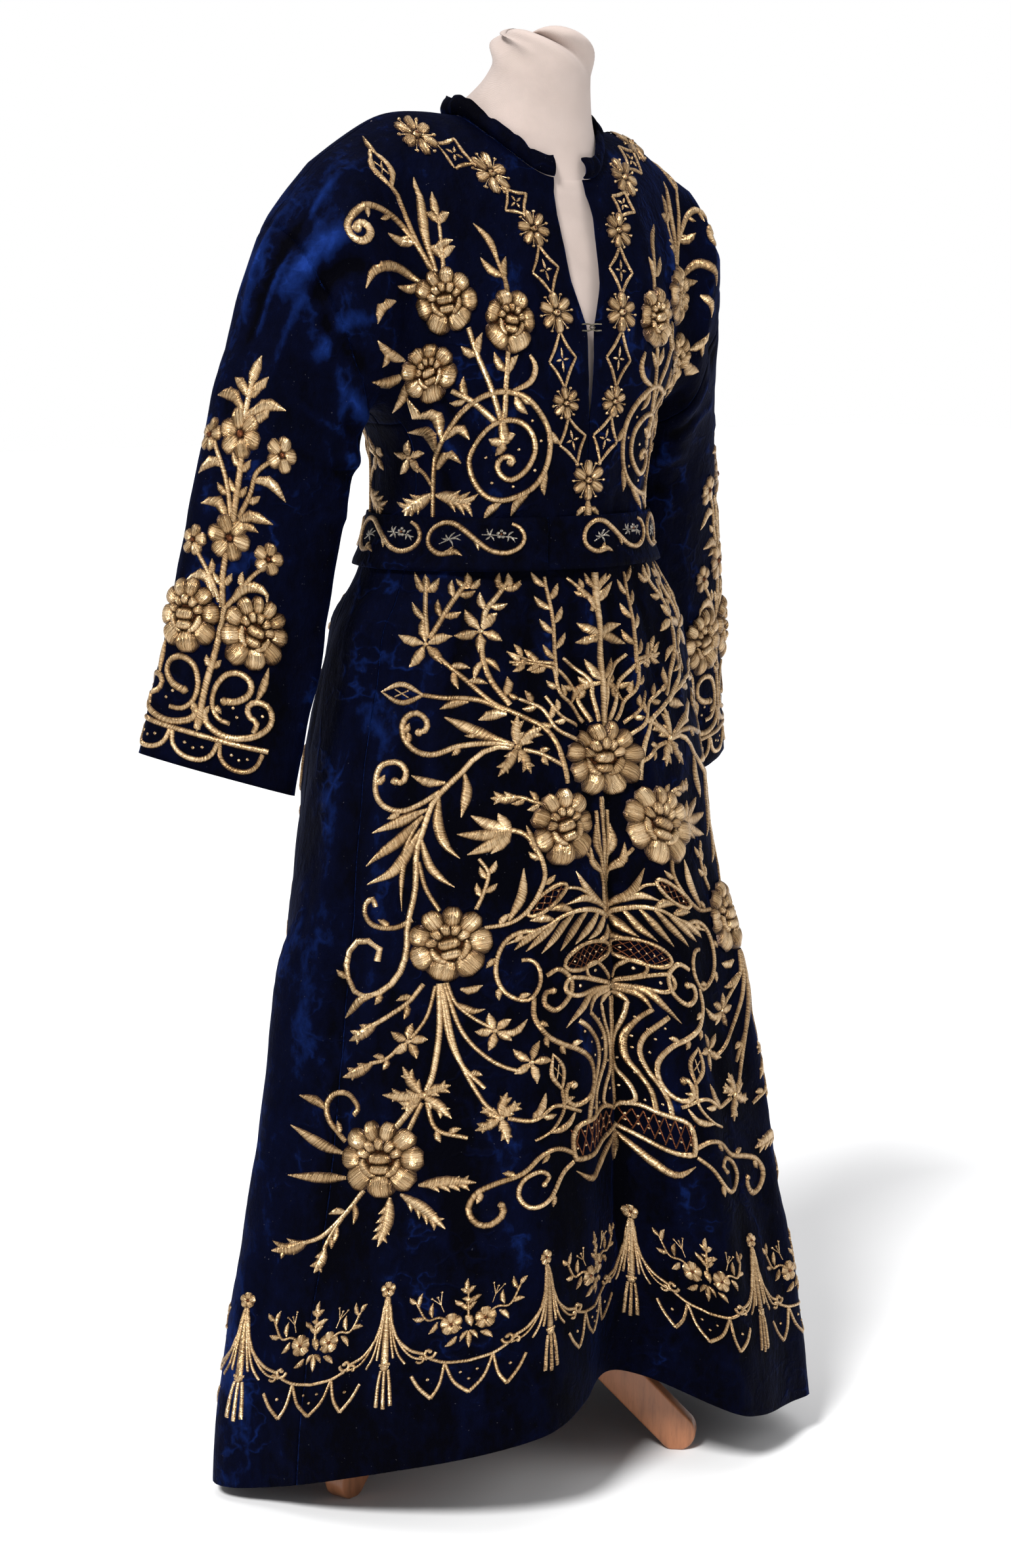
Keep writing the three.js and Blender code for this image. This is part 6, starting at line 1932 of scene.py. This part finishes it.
def finishes():
    """The finishes, made once from the scene's colours."""
    if "velvet" not in MADE:
        c = bpy.context.scene.robe_colours
        MADE["velvet"] = velvet(c.velvet_deep, c.velvet_body, c.velvet_bright, c.velvet_sheen)
        MADE["lining"] = lining((0.012, 0.014, 0.04))
        MADE["thread"] = metal_thread(c.thread_light, c.thread_mid, c.thread_shade, c.couching)
        MADE["form"] = form_cloth(c.form)
        MADE["wood"] = wood(c.wood)
        MADE["wire"] = drawn_wire()
    return MADE


def pile_light(shell):
    """Painted highlight in the velvet's colour: lighter on the creases' ridges, the upper arms, the chest and the
    skirt's sides, with painted shade in the creases' troughs.
    """
    across, z = np.abs(shell.points[:, 0]), shell.points[:, 2]
    arm = np.clip((across - 225) / 50, 0, 1) * np.clip((z - 1080) / 260, 0, 1)
    chest = np.clip((z - 990) / 200, 0, 1)
    half = 150 + 0.27 * (WAIST - z)  # about half the skirt's width at each height
    side = (1 - chest) * np.clip((across / half - 0.74) / 0.2, 0, 1)
    # painted highlight; values below nought paint shade in the creases' troughs
    wear_and_painted_sheen = (0.45 + 0.3 * chest + 0.7 * arm) * shell.painted_light + 0.35 * chest + 0.40 * arm + 0.28 * side
    return np.clip(wear_and_painted_sheen, -1, 1.6)


class ROBE_OT_cloth(bpy.types.Operator):
    """Cuts the velvet into the robe's pieces and gives each its wall and lining"""

    bl_idname = "robe.cloth"
    bl_label = "Robe cloth"

    def execute(self, context):
        made = finishes()
        shell = MADE["shell"] = make_shell()
        shell.smooth_normals = shell.normals()
        shell.trees = [(BVHTree.FromPolygons(shell.points.tolist(), quads.tolist()), quads)
                       for quads in (shell.quads[shell.on_body], shell.quads)]
        # the velvet's painted highlight and shade are kept as an attribute on the cloth's points
        shell.mesh.attributes.new("painted_light", "FLOAT", "POINT").data.foreach_set(
            "value", pile_light(shell).astype(np.float32))
        for number, node in enumerate(PIECES):
            bm = bmesh.new()
            bm.from_mesh(shell.mesh)
            label = bm.faces.layers.int["piece"]
            bmesh.ops.delete(bm, geom=[f for f in bm.faces if f[label] != number], context="FACES")
            mesh = to_mesh(bm, node + "_cloth")
            place_mesh(mesh, mesh_points(mesh))
            piece = body_piece(node + "_cloth", mesh, "velvet", node, made["velvet"], made["lining"])
            wall(piece, context.scene.robe_sizes.wall, lining=True)
        return {"FINISHED"}


class ROBE_OT_trim(bpy.types.Operator):
    """Makes the belt and the standing neck band"""

    bl_idname = "robe.trim"
    bl_label = "Belt and neck band"

    def execute(self, context):
        made = finishes()
        MADE["belt_grid"] = belt_grid()
        for node, grid, inside, thickness, flat, held in (
                ("belt", MADE["belt_grid"], "velvet", context.scene.robe_sizes.belt, (1.04, 0.056), "draped"),
                ("neck_band", band_grid(), "lining", 2.4 * MM, (0.47, 0.024), "hung")):
            mesh = to_mesh(grid_bmesh(to_frame(grid.points)), node + "_cloth")
            piece = body_piece(node + "_cloth", mesh, "velvet", node, made["velvet"], made[inside])
            wall(piece, thickness)
        return {"FINISHED"}


class ROBE_OT_embroidery(bpy.types.Operator):
    """Lays the metal thread work on the cloth"""

    bl_idname = "robe.embroidery"
    bl_label = "Metal thread work"

    def execute(self, context):
        shell, thread = MADE["shell"], finishes()["thread"]
        hem_border().set_on("hem_border", hem_mapper(shell), thread)
        for name, draw, mapper in (("skirt_vines", skirt_vines, skirt_mapper),
                                   ("skirt_centre", skirt_centre, skirt_mapper),
                                   ("bodice_work", bodice_work, bodice_mapper)):
            for side, behind in (("front", False), ("back", True)):
                draw().set_on(f"{name}_{side}", mapper(shell, behind), thread)
        for hand, name in ((-1, "right"), (1, "left")):
            sleeve_work(hand).set_on(f"sleeve_work_{name}", sleeve_mapper(shell, hand), thread)
        belt_work().set_on("belt_work", belt_mapper(MADE["belt_grid"]), thread)
        return {"FINISHED"}


class ROBE_OT_form(bpy.types.Operator):
    """Makes the padded dress form"""

    bl_idname = "robe.form"
    bl_label = "Dress form"

    def execute(self, context):
        build_form(finishes()["form"])
        return {"FINISHED"}


class ROBE_OT_stand(bpy.types.Operator):
    """Rounds and finishes the wooden stand, and finishes the hook and eye"""

    bl_idname = "robe.stand"
    bl_label = "Stand and fastening"

    def execute(self, context):
        made = finishes()
        edge = context.scene.robe_sizes.edge
        for node, width in (("stand_leg_1", edge), ("stand_leg_2", edge), ("stand_leg_3", edge),
                            ("stand_hub", 0.7 * edge)):
            rounded_copy(node, made["wood"], width)
        for node, key in (("stand_pole", "wood"), ("hook", "wire"), ("eye", "wire")):
            piece = cad_piece(node)
            for slot in piece.material_slots:
                slot.material = made[key]
            if not piece.material_slots:
                piece.data.materials.append(made[key])
        return {"FINISHED"}


LIGHTS = (  # name, strength, angle across and turn, in degrees
    ("key", 3.7, 13, (46, 0, -62)), ("fill", 0.6, 40, (55, 0, 30)), ("top", 1.1, 70, (14, 0, 150)))
WORLD_LIGHT, WORLD_SEEN = (0.34, 0.34, 0.35), (1.0, 1.0, 1.0)
CAMERA_AT, CAMERA_AIM, CAMERA_PITCH = (-2216.4, -2836.8, 1275.0), (0.6157, 0.788), 8.4
SENSOR, LENS_SHARE = 36, 5148 / 2388  # millimetres, and the focal length as a share of them


class ROBE_OT_studio(bpy.types.Operator):
    """Sets the pale floor, the soft lights and the camera"""

    bl_idname = "robe.studio"
    bl_label = "Studio"

    def execute(self, context):
        scene = context.scene
        bm = bmesh.new()
        bmesh.ops.create_grid(bm, x_segments=4, y_segments=4, size=20)
        new_object("floor", to_mesh(bm, "floor"), studio_floor())
        scene.world = bpy.data.worlds.new("studio")
        scene.world.use_nodes = True
        n = Nodes(scene.world.node_tree)
        seen = n.add("ShaderNodeLightPath").outputs["Is Camera Ray"]
        n.put(n.mix(seen, WORLD_LIGHT, WORLD_SEEN), n.tree.nodes["Background"].inputs["Color"])
        for name, strength, angle, turn in LIGHTS:
            data = bpy.data.lights.new(name, "SUN")
            data.energy = strength
            data.angle = math.radians(angle)
            light = bpy.data.objects.new(name, data)
            light.rotation_euler = [math.radians(v) for v in turn]
            scene.collection.objects.link(light)
        data = bpy.data.cameras.new("camera")
        data.sensor_width = SENSOR
        data.lens = SENSOR * LENS_SHARE
        data.clip_end = 100
        camera = bpy.data.objects.new("camera", data)
        camera.location = to_frame(CAMERA_AT).tolist()
        pitch = math.radians(CAMERA_PITCH)
        x, y = CAMERA_AIM
        ahead = Vector((x * math.cos(pitch), y * math.cos(pitch), -math.sin(pitch)))
        camera.rotation_mode = "QUATERNION"
        camera.rotation_quaternion = ahead.to_track_quat("-Z", "Y")
        scene.collection.objects.link(camera)
        scene.camera = camera
        scene.view_settings.view_transform = "Standard"
        scene.view_settings.look = "None"
        return {"FINISHED"}


OPERATORS = (ROBE_OT_cloth, ROBE_OT_trim, ROBE_OT_embroidery, ROBE_OT_form, ROBE_OT_stand, ROBE_OT_studio)


class ROBE_PT_panel(bpy.types.Panel):
    """The robe's pieces, colours and sizes in the sidebar"""

    bl_label = "Entari Robe"
    bl_idname = "ROBE_PT_panel"
    bl_space_type = "VIEW_3D"
    bl_region_type = "UI"
    bl_category = "Robe"

    def draw(self, context):
        for group in (context.scene.robe_sizes, context.scene.robe_colours):
            for name in group.bl_rna.properties.keys():
                if name not in ("rna_type", "name"):
                    self.layout.prop(group, name)
        for operator in OPERATORS:
            self.layout.operator(operator.bl_idname)


CLASSES = (RobeColours, RobeSizes, *OPERATORS, ROBE_PT_panel)


def register():
    for cls in CLASSES:
        bpy.utils.register_class(cls)
    bpy.types.Scene.robe_colours = bpy.props.PointerProperty(type=RobeColours)
    bpy.types.Scene.robe_sizes = bpy.props.PointerProperty(type=RobeSizes)


def unregister():
    del bpy.types.Scene.robe_sizes
    del bpy.types.Scene.robe_colours
    for cls in reversed(CLASSES):
        bpy.utils.unregister_class(cls)


def main():
    register()
    for operator in OPERATORS:
        group, name = operator.bl_idname.split(".")
        getattr(getattr(bpy.ops, group), name)()


if __name__ == "__main__":
    main()
